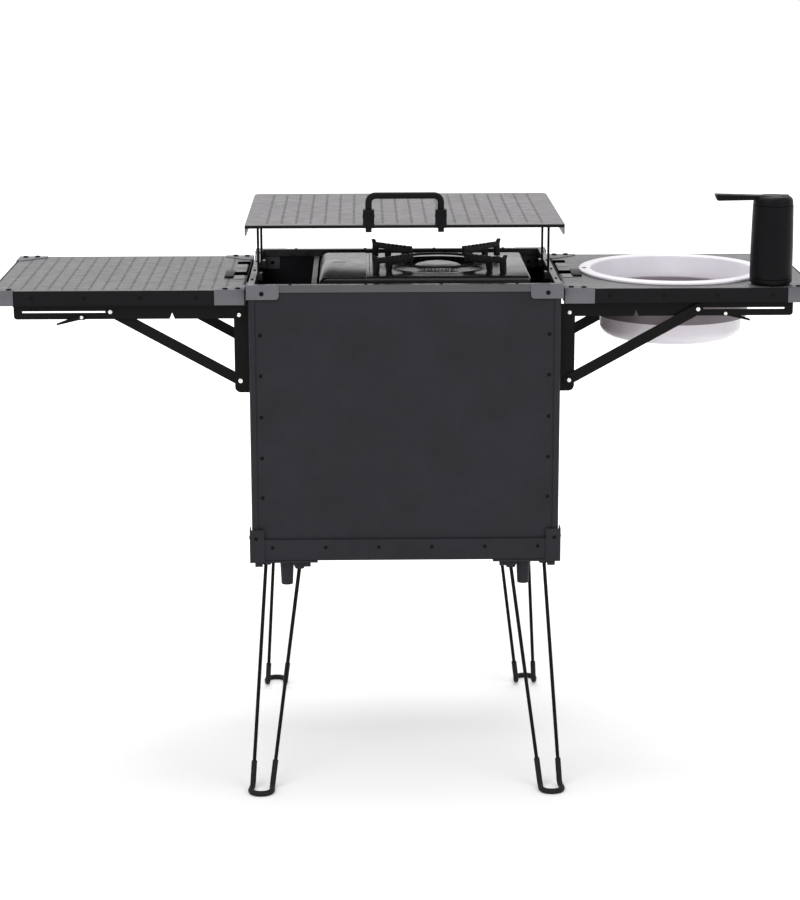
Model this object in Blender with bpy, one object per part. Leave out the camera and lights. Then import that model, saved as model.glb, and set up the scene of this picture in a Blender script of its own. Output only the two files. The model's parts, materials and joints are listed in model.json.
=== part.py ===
"""Folding camp kitchen box: wire legs, raised lid, two wing tables, basin, tap pump and gas stove.

Metres, +Z up. X runs along the wings, Y away from the front.
The origin is on the ground under the middle of the box.
"""

import math

import bmesh
import bpy
from mathutils import Matrix, Vector

# Clearances
GAP = 0.0003  # between pieces that touch
RUN = 0.0005  # between a pin and its bore
OVERRUN = 0.002  # how far a cutter passes the face it opens

# Box body
BOX_WIDTH = 0.498
BOX_DEPTH = 0.384
BOX_HEIGHT = 0.453
BOX_BASE_Z = 0.371
PANEL_T = 0.003
POST_SIZE = 0.010
POST_LIP = 0.0018
GROOVE_DEPTH = 0.004
RIM_HEIGHT = 0.012
PAN_WALL = 0.0015
PAN_FLANGE = 0.035

# Corner guards
TOP_GUARD_T = 0.0025
TOP_GUARD_LENGTH = 0.049
TOP_GUARD_RETURN = 0.030
TOP_GUARD_HEIGHT = 0.023
TOP_GUARD_CORNER = 0.006
BASE_GUARD_T = 0.0015
BASE_GUARD_WIDTH = 0.024
BASE_GUARD_HEIGHT = 0.055

# Foot plates, leg ears and tapered feet under the box
FOOT_PLATE_LENGTH = 0.110
FOOT_PLATE_DEPTH = 0.046
FOOT_PLATE_T = 0.003
LEG_AXIS_INSET = 0.018
LEG_AXIS_DROP_FRONT = 0.0085
LEG_AXIS_DROP_REAR = 0.0185
EAR_T = 0.012
EAR_RADIUS = 0.0075
FOOT_HEIGHT = 0.044
FOOT_TOP_RADIUS = 0.0115
FOOT_TIP_RADIUS = 0.0095
FOOT_INSET = 0.0065  # tapered foot inward of the leg's middle

# Wire legs
LEG_WIRE_RADIUS = 0.003
LEG_SLEEVE_RADIUS = 0.00425
LEG_SLEEVE_LENGTH = 0.045
LEG_SLEEVE_STEP = 0.0004
LEG_OUTER_INSET = 0.0215  # outer wire's top to the side of the box
LEG_INNER_INSET = 0.077
LEG_OUTER_FLARE = 0.024  # outer wire's foot beyond its top
LEG_INNER_FLARE = 0.0475
LEG_LOOP_FLARE = 0.005  # outer side of the loop, outward over its reach
LEG_REAR_TOP_OUT = -0.0035  # rear wires beyond the front ones, so that the pairs pass when folded
LEG_REAR_FOOT_OUT = -0.0055
LEG_TOP_BEND = 0.005
LEG_FOOT_BEND = 0.010
LEG_FOOT_REACH = 0.034
LEG_SPREAD = 0.0795  # ground bend beyond the leg axis

# Lid
LID_OVER_SIDE = 0.003  # lid beyond the side of the box
LID_OVER_FRONT = 0.001
LID_T = 0.0025
LID_RISE = 0.0955  # top of the lid above the box rim, raised
LID_FLANGE = 0.0165
LID_LIP = 0.005
LID_REAR_CORNER = 0.012
LID_ROD_RADIUS = 0.002
LID_ROD_INSET = 0.012  # rods to the side of the box
LID_ROD_SPACING = 0.130
LID_ROD_BEND = 0.012
LID_ROD_BELOW_RIM = 0.105
LID_STOP_RADIUS = 0.0034
LID_STOP_LENGTH = 0.004
GUIDE_REACH = 0.008
GUIDE_WIDTH = 0.014

# Lid handle and its sockets
HANDLE_RADIUS = 0.00475
HANDLE_SPACING = 0.114
HANDLE_RISE = 0.050
HANDLE_BEND = 0.010
SOCKET_WIDTH = 0.017
SOCKET_DEPTH = 0.016
SOCKET_HEIGHT = 0.023
SOCKET_WALL = 0.003
HANDLE_AXIS_RISE = 0.0125
SOCKET_PIN_RADIUS = 0.0015
NUB_WIDTH = 0.0085
NUB_DEPTH = 0.005
NUB_DROP = 0.0115

# Wing tables
WING_LENGTH = 0.403
WING_INSET = 0.014  # wing's front edge behind the front of the box
WING_DROP = 0.0105  # wing top below the box rim
WING_SIDE_GAP = 0.007  # wing edge to the face of the box
WING_RAIL = 0.023
WING_RAIL_WALL = 0.003
WING_LEDGE = 0.012
WING_FLANGE = 0.024
WING_LEDGE_T = 0.0025
WING_PANEL_T = 0.003

# Folding brackets under the wings
BRACKET_INSET = 0.026  # bracket to the front of the box
BRACKET_T = 0.0025
PIVOT_OUT = 0.015  # fold pivot to the face of the box
PIVOT_UNDER_WING = 0.040
STRUT_PIVOT_DROP = 0.109
WALL_PLATE_TOP = 0.014
WALL_PLATE_BOTTOM = 0.019
WALL_PLATE_OVER = 0.009
WALL_FLANGE_WIDTH = 0.018
RIVET_RADIUS = 0.003
RIVET_HEAD_RADIUS = 0.0045
RIVET_HEAD_T = 0.0015
ARM_LENGTH = 0.359
ARM_DOWN = 0.0066
ARM_BACK = 0.009
ARM_CORNER = 0.005
ARM_FLANGE = 0.0075
ARM_FLANGE_T = 0.002
SLOT_RISE = 0.005
SLOT_WIDTH = 0.003
SLOT_START = 0.203
SLOT_END_MARGIN = 0.0135  # slot's end to the arm's end
NOTCH_AT = 0.107
NOTCH_DEPTH = 0.010
NOTCH_HALF = 0.004
STRUT_REACH = 0.2055
STRUT_WIDTH = 0.017
STRUT_BOSS_RADIUS = 0.005
LEVER_AT = 0.251
LEVER_REACH = 0.040
LEVER_DIP = 0.0125
LEVER_T = 0.002
LEVER_BACK = 0.006
LEVER_WIDTH = 0.008
LEVER_TIP = 0.003
LEVER_PIN_RISE = 0.0015
LEVER_PIN_RADIUS = 0.0016

# Basin in the right wing
BASIN_OUT = 0.199  # centre to the face of the box
BASIN_BRACKET_GAP = 0.0285  # basin's wall to the brackets
BASIN_RIM_WIDTH = 0.0165
BASIN_RIM_T = 0.005
BASIN_WALL = 0.003
BASIN_DEPTH = 0.106
BASIN_RING = 0.038
BASIN_HOOK = 0.0065
BASIN_HOOK_T = 0.003
BASIN_ROUND = 0.018
BASIN_HOLE_GAP = 0.003

# Tap pump
PUMP_FROM_END = 0.069
PUMP_FROM_EDGE = 0.040
PUMP_RADIUS = 0.034
PUMP_HEIGHT = 0.142
PUMP_CAP = 0.014
PUMP_CAP_RADIUS = 0.0325
PUMP_CAP_ROUND = 0.007
PUMP_GROOVE_AT = 0.010
PUMP_GROOVE = 0.0015
SPOUT_REACH = 0.094
SPOUT_WIDTH = 0.022
SPOUT_T = 0.009
SPOUT_PROUD = 0.003
SPOUT_END = 0.004
SPOUT_NOSE = 0.005
SPOUT_NOSE_LENGTH = 0.011
BUTTON_RADIUS = 0.006
BUTTON_RISE = 0.002
BUTTON_DEPTH = 0.005
BUTTON_OUT = 0.019
BUTTON_TRAVEL = 0.0015

# Stove
STOVE_SIDE_GAP = 0.044  # stove to the right side of the box
STOVE_WIDTH = 0.343
STOVE_DEPTH = 0.258
STOVE_HEIGHT = 0.082
STOVE_PROUD = 0.002
STOVE_WALL = 0.002
STOVE_CORNER = 0.010
BAY_WIDTH = 0.067
BAY_END = 0.006
BAY_FLOOR = 0.006
COVER_T = 0.003
COVER_LAP = 0.004
BURNER_OUT = 0.1965  # burner centre to the stove's left side
WELL_RADIUS = 0.090
WELL_DEPTH = 0.010
BURNER_RADIUS = 0.038
BURNER_NECK_RADIUS = 0.022
BURNER_NECK = 0.004
BURNER_HEIGHT = 0.013
CARTRIDGE_RADIUS = 0.032
CARTRIDGE_LENGTH = 0.184
CARTRIDGE_NECK_RADIUS = 0.016
CARTRIDGE_SHOULDER = 0.012
KNOB_RADIUS = 0.021
KNOB_LENGTH = 0.020
KNOB_GRIP = 0.008
SUPPORT_RING_RADIUS = 0.074
SUPPORT_RING_WIDTH = 0.006
SUPPORT_RING_RISE = 0.004
SUPPORT_RING_T = 0.004
SUPPORT_REACH = 0.1425
SUPPORT_INNER = 0.057
SUPPORT_HEIGHT = 0.024
SUPPORT_ARM_T = 0.004
SUPPORT_ARM_ANGLE = math.radians(41)  # arms to the stove's length
SUPPORT_LEG = 0.008
SUPPORT_STEP = 0.012
SUPPORT_HORN = 0.0045
SUPPORT_HORN_WIDTH = 0.005
TOOTH = 0.004

# Stove tray
TRAY_T = 0.002
TRAY_MARGIN = 0.009  # divider to the stove
TRAY_SIDE_GAP = 0.020
TRAY_FLANGE = 0.018

# Facets
ROUND_SEGMENTS = 24
BASIN_SEGMENTS = 40
PIN_SEGMENTS = 12
FILLET_STEPS = 4
WIRE_RESOLUTION = 3
MERGE = 1e-6

# Places worked out from the sizes above
HALF_WIDTH = BOX_WIDTH / 2
HALF_DEPTH = BOX_DEPTH / 2
LID_WIDTH = BOX_WIDTH + 2 * LID_OVER_SIDE
LID_DEPTH = BOX_DEPTH + 2 * LID_OVER_FRONT
LID_ROD_X = HALF_WIDTH - LID_ROD_INSET
WING_DEPTH = BOX_DEPTH - 2 * WING_INSET
BRACKET_Y = HALF_DEPTH - BRACKET_INSET
SLOT_END = ARM_LENGTH - SLOT_END_MARGIN
BASIN_RIM_WALL_RADIUS = BRACKET_Y - BASIN_BRACKET_GAP
BASIN_RIM_RADIUS = BASIN_RIM_WALL_RADIUS + BASIN_RIM_WIDTH
LEG_OUTER_TOP = HALF_WIDTH - LEG_OUTER_INSET
LEG_INNER_TOP = HALF_WIDTH - LEG_INNER_INSET
LEG_OUTER_FOOT = LEG_OUTER_TOP + LEG_OUTER_FLARE
LEG_INNER_FOOT = LEG_INNER_TOP + LEG_INNER_FLARE
RIM_Z = BOX_BASE_Z + BOX_HEIGHT
RIM_BASE_Z = RIM_Z - RIM_HEIGHT
PAN_FLOOR_Z = BOX_BASE_Z + PAN_WALL
PANEL_INSET = POST_LIP + GAP
PANEL_EDGE = POST_SIZE - GROOVE_DEPTH + GAP
INNER_DEPTH = HALF_DEPTH - PANEL_INSET - PANEL_T
PAN_OUT = GAP + PAN_WALL
BASE_GUARD_OUT = PAN_OUT + GAP + BASE_GUARD_T
LEG_Y = HALF_DEPTH - LEG_AXIS_INSET
LEG_STUB = LEG_TOP_BEND + RUN + EAR_T
LEG_MIDDLE = (LEG_OUTER_TOP + LEG_INNER_TOP) / 2
FOOT_X = LEG_MIDDLE - FOOT_INSET
LID_Z = RIM_Z + LID_RISE
WING_Z = RIM_Z - WING_DROP
WING_INNER = HALF_WIDTH + WING_SIDE_GAP
WING_OUTER = WING_INNER + WING_LENGTH
WING_MIDDLE = WING_INNER + WING_LENGTH / 2
WING_BASE_Z = WING_Z - WING_RAIL
PIVOT_X = HALF_WIDTH + PIVOT_OUT
PIVOT_Z = WING_Z - PIVOT_UNDER_WING
STRUT_Z = PIVOT_Z - STRUT_PIVOT_DROP
LEVER_Z = PIVOT_Z - ARM_DOWN + LEVER_PIN_RADIUS + LEVER_PIN_RISE
BASIN_X = HALF_WIDTH + BASIN_OUT
PUMP_X = WING_OUTER - PUMP_FROM_END
PUMP_Y = PUMP_FROM_EDGE - WING_DEPTH / 2
PUMP_BASE_Z = WING_Z + GAP
PUMP_CAP_Z = PUMP_BASE_Z + PUMP_HEIGHT - PUMP_CAP
PUMP_TOP_Z = PUMP_BASE_Z + PUMP_HEIGHT
STOVE_TOP_Z = RIM_Z + STOVE_PROUD
STOVE_BASE_Z = STOVE_TOP_Z - STOVE_HEIGHT
STOVE_X1 = HALF_WIDTH - STOVE_SIDE_GAP
STOVE_X0 = STOVE_X1 - STOVE_WIDTH
BURNER_X = STOVE_X0 + BURNER_OUT
BAY_X0 = STOVE_X0 + BAY_END
BAY_X1 = BAY_X0 + BAY_WIDTH
COVER_X1 = BAY_X1 + COVER_LAP
DECK_Z = STOVE_TOP_Z - COVER_T - GAP
WELL_Z = STOVE_TOP_Z - WELL_DEPTH
TRAY_TOP_Z = STOVE_BASE_Z - GAP
TRAY_LEFT = TRAY_MARGIN - STOVE_X0
TRAY_RIGHT = HALF_WIDTH - TRAY_SIDE_GAP

SIDES = {"left": -1, "right": 1}
ENDS = {"front": -1, "rear": 1}


def clear_scene():
    """Removes every object that the scene starts with."""
    for obj in list(bpy.data.objects):
        bpy.data.objects.remove(obj, do_unlink=True)


def finish(name, color, roughness, metallic=0.0):
    """A Principled material of one colour."""
    material = bpy.data.materials.new(name)
    material.use_nodes = True
    shader = material.node_tree.nodes["Principled BSDF"]
    shader.inputs["Base Color"].default_value = (*color, 1)
    shader.inputs["Roughness"].default_value = roughness
    shader.inputs["Metallic"].default_value = metallic
    return material


def fillet_path(corners, radii, closed=False, steps=FILLET_STEPS):
    """Points of a path through the corners, each corner with a radius replaced by an arc."""
    points = []
    count = len(corners)
    for i, corner in enumerate(corners):
        here = Vector(corner)
        if radii[i] == 0 or (not closed and i in (0, count - 1)):
            points.append(here)
            continue
        back = (Vector(corners[i - 1]) - here).normalized()
        ahead = (Vector(corners[(i + 1) % count]) - here).normalized()
        half = back.angle(ahead) / 2
        centre = here + (back + ahead).normalized() * (radii[i] / math.sin(half))
        start = here + back * (radii[i] / math.tan(half)) - centre
        end = here + ahead * (radii[i] / math.tan(half)) - centre
        turn = start.angle(end)
        for step in range(steps + 1):
            share = step / steps
            points.append(
                centre
                + (start * math.sin((1 - share) * turn) + end * math.sin(share * turn)) / math.sin(turn)
            )
    return points


def outline(*corners):
    """Flat outline from (a, b) or (a, b, fillet radius) corners."""
    flat = [(corner[0], corner[1], 0) for corner in corners]
    radii = [corner[2] if len(corner) > 2 else 0 for corner in corners]
    return [(point.x, point.y) for point in fillet_path(flat, radii, closed=True)]


def rectangle(a0, b0, a1, b1, radius=0):
    """Rectangular outline, its corners rounded by the radius."""
    return outline((a0, b0, radius), (a1, b0, radius), (a1, b1, radius), (a0, b1, radius))


def circle(a, b, radius, segments=ROUND_SEGMENTS):
    """Round outline."""
    turn = 2 * math.pi / segments
    return [(a + radius * math.cos(i * turn), b + radius * math.sin(i * turn)) for i in range(segments)]


def place(axis, a, b, along):
    """World point of (a, b) in the plane square to the axis, at the given place along it."""
    if axis == "X":
        return (along, a, b)
    if axis == "Y":
        return (a, along, b)
    return (a, b, along)


def prism(axis, edge, start, end, holes=()):
    """Outline, with any holes, extruded along the axis."""
    bm = bmesh.new()
    for loop in (edge, *holes):
        verts = [bm.verts.new(place(axis, a, b, start)) for a, b in loop]
        for i, vert in enumerate(verts):
            bm.edges.new((vert, verts[(i + 1) % len(verts)]))
    if holes:
        bmesh.ops.triangle_fill(bm, use_beauty=True, edges=bm.edges[:])
    else:
        bm.verts.ensure_lookup_table()
        bm.faces.new(bm.verts[:])
    grown = bmesh.ops.extrude_face_region(bm, geom=bm.faces[:], use_keep_orig=True)["geom"]
    moved = [item for item in grown if isinstance(item, bmesh.types.BMVert)]
    bmesh.ops.translate(bm, verts=moved, vec=place(axis, 0, 0, end - start))
    return bm


def block(low, high):
    """Box between two corners."""
    return prism("Z", rectangle(low[0], low[1], high[0], high[1]), low[2], high[2])


def rod(start, end, radius, end_radius=None, segments=PIN_SEGMENTS):
    """Round bar or cone between two points."""
    start = Vector(start)
    end = Vector(end)
    bm = bmesh.new()
    turn = Vector((0, 0, 1)).rotation_difference(end - start).to_matrix().to_4x4()
    bmesh.ops.create_cone(
        bm,
        cap_ends=True,
        segments=segments,
        radius1=radius,
        radius2=radius if end_radius is None else end_radius,
        depth=(end - start).length,
        matrix=Matrix.Translation((start + end) / 2) @ turn,
    )
    return bm


def turned(profile, centre, axis="Z", segments=ROUND_SEGMENTS):
    """Closed (radius, height) profile turned round an axis through the centre."""
    bm = bmesh.new()
    verts = [bm.verts.new((radius, 0, height)) for radius, height in profile]
    edges = [bm.edges.new((vert, verts[(i + 1) % len(verts)])) for i, vert in enumerate(verts)]
    bmesh.ops.spin(
        bm,
        geom=verts + edges,
        cent=(0, 0, 0),
        axis=(0, 0, 1),
        angle=2 * math.pi,
        steps=segments,
        use_merge=True,
        use_duplicate=False,
    )
    bmesh.ops.remove_doubles(bm, verts=bm.verts[:], dist=MERGE)
    bmesh.ops.dissolve_degenerate(bm, edges=bm.edges[:], dist=MERGE)
    wires = [edge for edge in bm.edges if not edge.link_faces]
    bmesh.ops.delete(bm, geom=wires, context="EDGES")
    turn = {"X": Matrix.Rotation(math.pi / 2, 4, "Y"), "Y": Matrix.Rotation(-math.pi / 2, 4, "X")}
    bmesh.ops.transform(
        bm, matrix=Matrix.Translation(centre) @ turn.get(axis, Matrix.Identity(4)), verts=bm.verts[:]
    )
    return bm


def frame_ring(profile, half_x, half_y, centre_x=0):
    """Closed (inset, z) profile run round a rectangle with mitred corners."""
    bm = bmesh.new()
    loops = []
    for sign_x, sign_y in ((-1, -1), (1, -1), (1, 1), (-1, 1)):
        loops.append(
            [
                bm.verts.new((centre_x + sign_x * (half_x - inset), sign_y * (half_y - inset), z))
                for inset, z in profile
            ]
        )
    for i, loop in enumerate(loops):
        after = loops[(i + 1) % len(loops)]
        for j, vert in enumerate(loop):
            k = (j + 1) % len(loop)
            bm.faces.new((vert, after[j], after[k], loop[k]))
    return bm


def add_object(name, bm, material, pivot=(0, 0, 0)):
    """Object of the shape, its origin at the pivot."""
    bmesh.ops.recalc_face_normals(bm, faces=bm.faces[:])
    bmesh.ops.translate(bm, verts=bm.verts[:], vec=-Vector(pivot))
    mesh = bpy.data.meshes.new(name)
    bm.to_mesh(mesh)
    bm.free()
    obj = bpy.data.objects.new(name, mesh)
    obj.location = pivot
    bpy.context.scene.collection.objects.link(obj)
    if material is not None:
        mesh.materials.append(material)
        mesh.shade_smooth()
        mesh.set_sharp_from_angle(angle=math.radians(35))
    return obj


def solid(name, bm, material, body=None, add=(), cut=(), pivot=(0, 0, 0)):
    """A piece: its main shape, the shapes added to it, and the shapes cut from it."""
    obj = add_object(name, bm, material, pivot)
    tools = []
    for operation, shapes in (("UNION", add), ("DIFFERENCE", cut)):
        for i, shape in enumerate(shapes):
            tool = add_object(f"{name}.{operation.lower()}{i}", shape, None)
            tool.hide_render = True
            tool.display_type = "WIRE"
            modifier = obj.modifiers.new(f"{operation.lower()}{i}", "BOOLEAN")
            modifier.operation = operation
            modifier.object = tool
            modifier.solver = "EXACT"
            tools.append(tool)
    for item in (obj, *tools):
        carry(item, body)
    return obj


def joint_empty(name, pivot, parent=None):
    """Empty on a joint's axis that carries a moving body."""
    empty = bpy.data.objects.new(name, None)
    empty.empty_display_size = POST_SIZE
    bpy.context.scene.collection.objects.link(empty)
    empty.location = pivot
    bpy.context.view_layer.update()
    carry(empty, parent)
    return empty


def carry(obj, body):
    """Parents the object to a body's empty and leaves it in place."""
    if body is None:
        return
    obj.parent = body
    obj.matrix_parent_inverse = body.matrix_world.inverted()
    bpy.context.view_layer.update()


def wire(name, points, radius, material, body=None, shares=None):
    """Round wire through the points; shares scale its radius at each point."""
    curve = bpy.data.curves.new(name, "CURVE")
    curve.dimensions = "3D"
    curve.bevel_depth = radius
    curve.bevel_resolution = WIRE_RESOLUTION
    curve.use_fill_caps = True
    spline = curve.splines.new("POLY")
    spline.points.add(len(points) - 1)
    for i, (point, target) in enumerate(zip(points, spline.points)):
        target.co = (*point, 1)
        target.radius = 1 if shares is None else shares[i]
    curve.materials.append(material)
    obj = bpy.data.objects.new(name, curve)
    bpy.context.scene.collection.objects.link(obj)
    carry(obj, body)
    return obj


def stepped_path(points, step_at, step):
    """Path with two close points at each place along it where its radius changes."""
    out = []
    marks = []
    travelled = 0
    for i, point in enumerate(points):
        if i:
            run = (point - points[i - 1]).length
            for place_along in step_at:
                if travelled < place_along < travelled + run:
                    way = (point - points[i - 1]).normalized()
                    at = points[i - 1] + way * (place_along - travelled)
                    out.extend([at - way * (step / 2), at + way * (step / 2)])
                    marks.append(len(out) - 1)
            travelled += run
        out.append(point)
    return out, marks


def path_length(points):
    """Length of the path through the points."""
    return sum((b - a).length for a, b in zip(points, points[1:]))


def build_panels(paint):
    """The four wall panels, seated in the posts' and the rim's grooves."""
    low = PAN_FLOOR_Z + GAP
    high = RIM_BASE_Z + GROOVE_DEPTH - GAP
    for end, sign in ENDS.items():
        outer = sign * (HALF_DEPTH - PANEL_INSET)
        inner = sign * INNER_DEPTH
        edge = HALF_WIDTH - PANEL_EDGE
        shape = block((-edge, min(outer, inner), low), (edge, max(outer, inner), high))
        solid(f"{end}_panel", shape, paint)
    for side, sign in SIDES.items():
        outer = sign * (HALF_WIDTH - PANEL_INSET)
        inner = outer - sign * PANEL_T
        edge = HALF_DEPTH - PANEL_EDGE
        shape = block((min(outer, inner), -edge, low), (max(outer, inner), edge, high))
        solid(f"{side}_panel", shape, paint)


def build_posts(paint):
    """Corner posts with a groove for each of the two panels that meet there."""
    lip = POST_LIP
    far = lip + PANEL_T + 2 * GAP
    deep = POST_SIZE - GROOVE_DEPTH
    profile = [
        (0, 0),
        (POST_SIZE, 0),
        (POST_SIZE, lip),
        (deep, lip),
        (deep, far),
        (POST_SIZE, far),
        (POST_SIZE, POST_SIZE),
        (far, POST_SIZE),
        (far, deep),
        (lip, deep),
        (lip, POST_SIZE),
        (0, POST_SIZE),
    ]
    for side, sign_x in SIDES.items():
        for end, sign_y in ENDS.items():
            edge = [(sign_x * (HALF_WIDTH - a), sign_y * (HALF_DEPTH - b)) for a, b in profile]
            shape = prism("Z", edge, PAN_FLOOR_Z + GAP, RIM_BASE_Z - GAP)
            solid(f"post_{end}_{side}", shape, paint)


def build_rim(paint):
    """Top frame, grooved below for the panels, with a guide lug for each lid rod."""
    lip = POST_LIP
    far = lip + PANEL_T + 2 * GAP
    roof = RIM_BASE_Z + GROOVE_DEPTH
    profile = [
        (0, RIM_BASE_Z),
        (0, RIM_Z),
        (POST_SIZE, RIM_Z),
        (POST_SIZE, RIM_BASE_Z),
        (far, RIM_BASE_Z),
        (far, roof),
        (lip, roof),
        (lip, RIM_BASE_Z),
    ]
    lugs = []
    bores = []
    inner = HALF_WIDTH - POST_SIZE
    for sign_x in SIDES.values():
        for sign_y in ENDS.values():
            y = sign_y * LID_ROD_SPACING / 2
            x = sign_x * LID_ROD_X
            reach = sign_x * (inner - GUIDE_REACH)
            root = sign_x * (inner + GAP)
            lugs.append(
                block(
                    (min(reach, root), y - GUIDE_WIDTH / 2, RIM_BASE_Z + GAP),
                    (max(reach, root), y + GUIDE_WIDTH / 2, RIM_Z - GAP),
                )
            )
            bores.append(
                rod((x, y, RIM_BASE_Z - OVERRUN), (x, y, RIM_Z + OVERRUN), LID_ROD_RADIUS + RUN)
            )
    solid("top_rim", frame_ring(profile, HALF_WIDTH, HALF_DEPTH), paint, add=lugs, cut=bores)


def build_pan(paint):
    """Bottom pan whose flanges stand outside the posts and panels."""
    half_x = HALF_WIDTH + PAN_OUT
    half_y = HALF_DEPTH + PAN_OUT
    wall = [
        (0, BOX_BASE_Z),
        (0, BOX_BASE_Z + PAN_FLANGE),
        (PAN_WALL, BOX_BASE_Z + PAN_FLANGE),
        (PAN_WALL, PAN_FLOOR_Z),
    ]
    bm = bmesh.new()
    loops = []
    for sign_x, sign_y in ((-1, -1), (1, -1), (1, 1), (-1, 1)):
        loops.append(
            [bm.verts.new((sign_x * (half_x - inset), sign_y * (half_y - inset), z)) for inset, z in wall]
        )
    for i, loop in enumerate(loops):
        after = loops[(i + 1) % len(loops)]
        for j in range(len(loop) - 1):
            bm.faces.new((loop[j], after[j], after[j + 1], loop[j + 1]))
    bm.faces.new([loop[0] for loop in loops])
    bm.faces.new([loop[-1] for loop in loops])
    solid("bottom_pan", bm, paint)


def build_top_guards(paint):
    """Grey guards round the box's top corners, rounded at their lower free corners."""
    near = GAP
    far = GAP + TOP_GUARD_T
    low = RIM_Z - TOP_GUARD_HEIGHT
    for side, sign_x in SIDES.items():
        for end, sign_y in ENDS.items():
            face = outline(
                (sign_x * (HALF_WIDTH + far), low),
                (sign_x * (HALF_WIDTH - TOP_GUARD_LENGTH), low, TOP_GUARD_CORNER),
                (sign_x * (HALF_WIDTH - TOP_GUARD_LENGTH), RIM_Z),
                (sign_x * (HALF_WIDTH + far), RIM_Z),
            )
            front = prism("Y", face, sign_y * (HALF_DEPTH + near), sign_y * (HALF_DEPTH + far))
            turn = outline(
                (sign_y * (HALF_DEPTH + near + GAP), low),
                (sign_y * (HALF_DEPTH - TOP_GUARD_RETURN), low, TOP_GUARD_CORNER),
                (sign_y * (HALF_DEPTH - TOP_GUARD_RETURN), RIM_Z),
                (sign_y * (HALF_DEPTH + near + GAP), RIM_Z),
            )
            back = prism("X", turn, sign_x * (HALF_WIDTH + near), sign_x * (HALF_WIDTH + far))
            solid(f"top_guard_{end}_{side}", front, paint, add=[back])


def build_base_brackets(paint):
    """Bottom corner brackets: corner guard, foot plate, two leg ears and the tapered foot."""
    top = BOX_BASE_Z - GAP
    low = top - FOOT_PLATE_T
    inner = PAN_OUT + GAP
    for end, sign_y in ENDS.items():
        drop = LEG_AXIS_DROP_FRONT if end == "front" else LEG_AXIS_DROP_REAR
        axis_z = BOX_BASE_Z - drop
        out = 0 if end == "front" else LEG_REAR_TOP_OUT
        y = sign_y * LEG_Y
        for side, sign_x in SIDES.items():
            corner_x = HALF_WIDTH + BASE_GUARD_OUT
            corner_y = HALF_DEPTH + BASE_GUARD_OUT
            plate = [
                (sign_x * corner_x, sign_y * corner_y),
                (sign_x * (corner_x - FOOT_PLATE_LENGTH), sign_y * corner_y),
                (sign_x * (corner_x - FOOT_PLATE_LENGTH), sign_y * (corner_y - FOOT_PLATE_DEPTH)),
                (sign_x * corner_x, sign_y * (corner_y - FOOT_PLATE_DEPTH)),
            ]
            guard = [
                (sign_x * corner_x, sign_y * corner_y),
                (sign_x * (corner_x - BASE_GUARD_WIDTH), sign_y * corner_y),
                (sign_x * (corner_x - BASE_GUARD_WIDTH), sign_y * (HALF_DEPTH + inner)),
                (sign_x * (HALF_WIDTH + inner), sign_y * (HALF_DEPTH + inner)),
                (sign_x * (HALF_WIDTH + inner), sign_y * (corner_y - BASE_GUARD_WIDTH)),
                (sign_x * corner_x, sign_y * (corner_y - BASE_GUARD_WIDTH)),
            ]
            ears = []
            bores = []
            for near, way in ((LEG_OUTER_TOP + out, 1), (LEG_INNER_TOP + out, -1)):
                start = sign_x * (near + way * (LEG_TOP_BEND + RUN))
                stop = start + sign_x * way * EAR_T
                ear = outline(
                    (y - EAR_RADIUS, top - FOOT_PLATE_T / 2),
                    (y - EAR_RADIUS, axis_z - EAR_RADIUS, EAR_RADIUS - GAP),
                    (y + EAR_RADIUS, axis_z - EAR_RADIUS, EAR_RADIUS - GAP),
                    (y + EAR_RADIUS, top - FOOT_PLATE_T / 2),
                )
                ears.append(prism("X", ear, start, stop))
                over = sign_x * way * OVERRUN
                bores.append(
                    rod((start - over, y, axis_z), (stop + over, y, axis_z), LEG_WIRE_RADIUS + RUN)
                )
            foot = rod(
                (sign_x * FOOT_X, y, BOX_BASE_Z - FOOT_HEIGHT),
                (sign_x * FOOT_X, y, low + FOOT_PLATE_T / 2),
                FOOT_TIP_RADIUS,
                FOOT_TOP_RADIUS,
                ROUND_SEGMENTS,
            )
            solid(
                f"base_bracket_{end}_{side}",
                prism("Z", plate, low, top),
                paint,
                add=[prism("Z", guard, top - GAP, low + BASE_GUARD_HEIGHT), *ears, foot],
                cut=bores,
            )


def build_tray(paint):
    """Tray under the stove, flanged to the front and rear panels, its left wall the compartment's divider."""
    half = INNER_DEPTH - GAP
    low = TRAY_TOP_Z - TRAY_T
    flange_z = TRAY_TOP_Z + TRAY_FLANGE
    divider_z = RIM_BASE_Z - GAP
    side = [
        (-half, low),
        (half, low),
        (half, flange_z),
        (half - TRAY_T, flange_z),
        (half - TRAY_T, TRAY_TOP_Z),
        (TRAY_T - half, TRAY_TOP_Z),
        (TRAY_T - half, flange_z),
        (-half, flange_z),
    ]
    divider = block((-TRAY_LEFT, -half, low), (TRAY_T - TRAY_LEFT, half, divider_z))
    floor = prism("X", side, TRAY_T / 2 - TRAY_LEFT, TRAY_RIGHT)
    solid("stove_tray", divider, paint, add=[floor])


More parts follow.
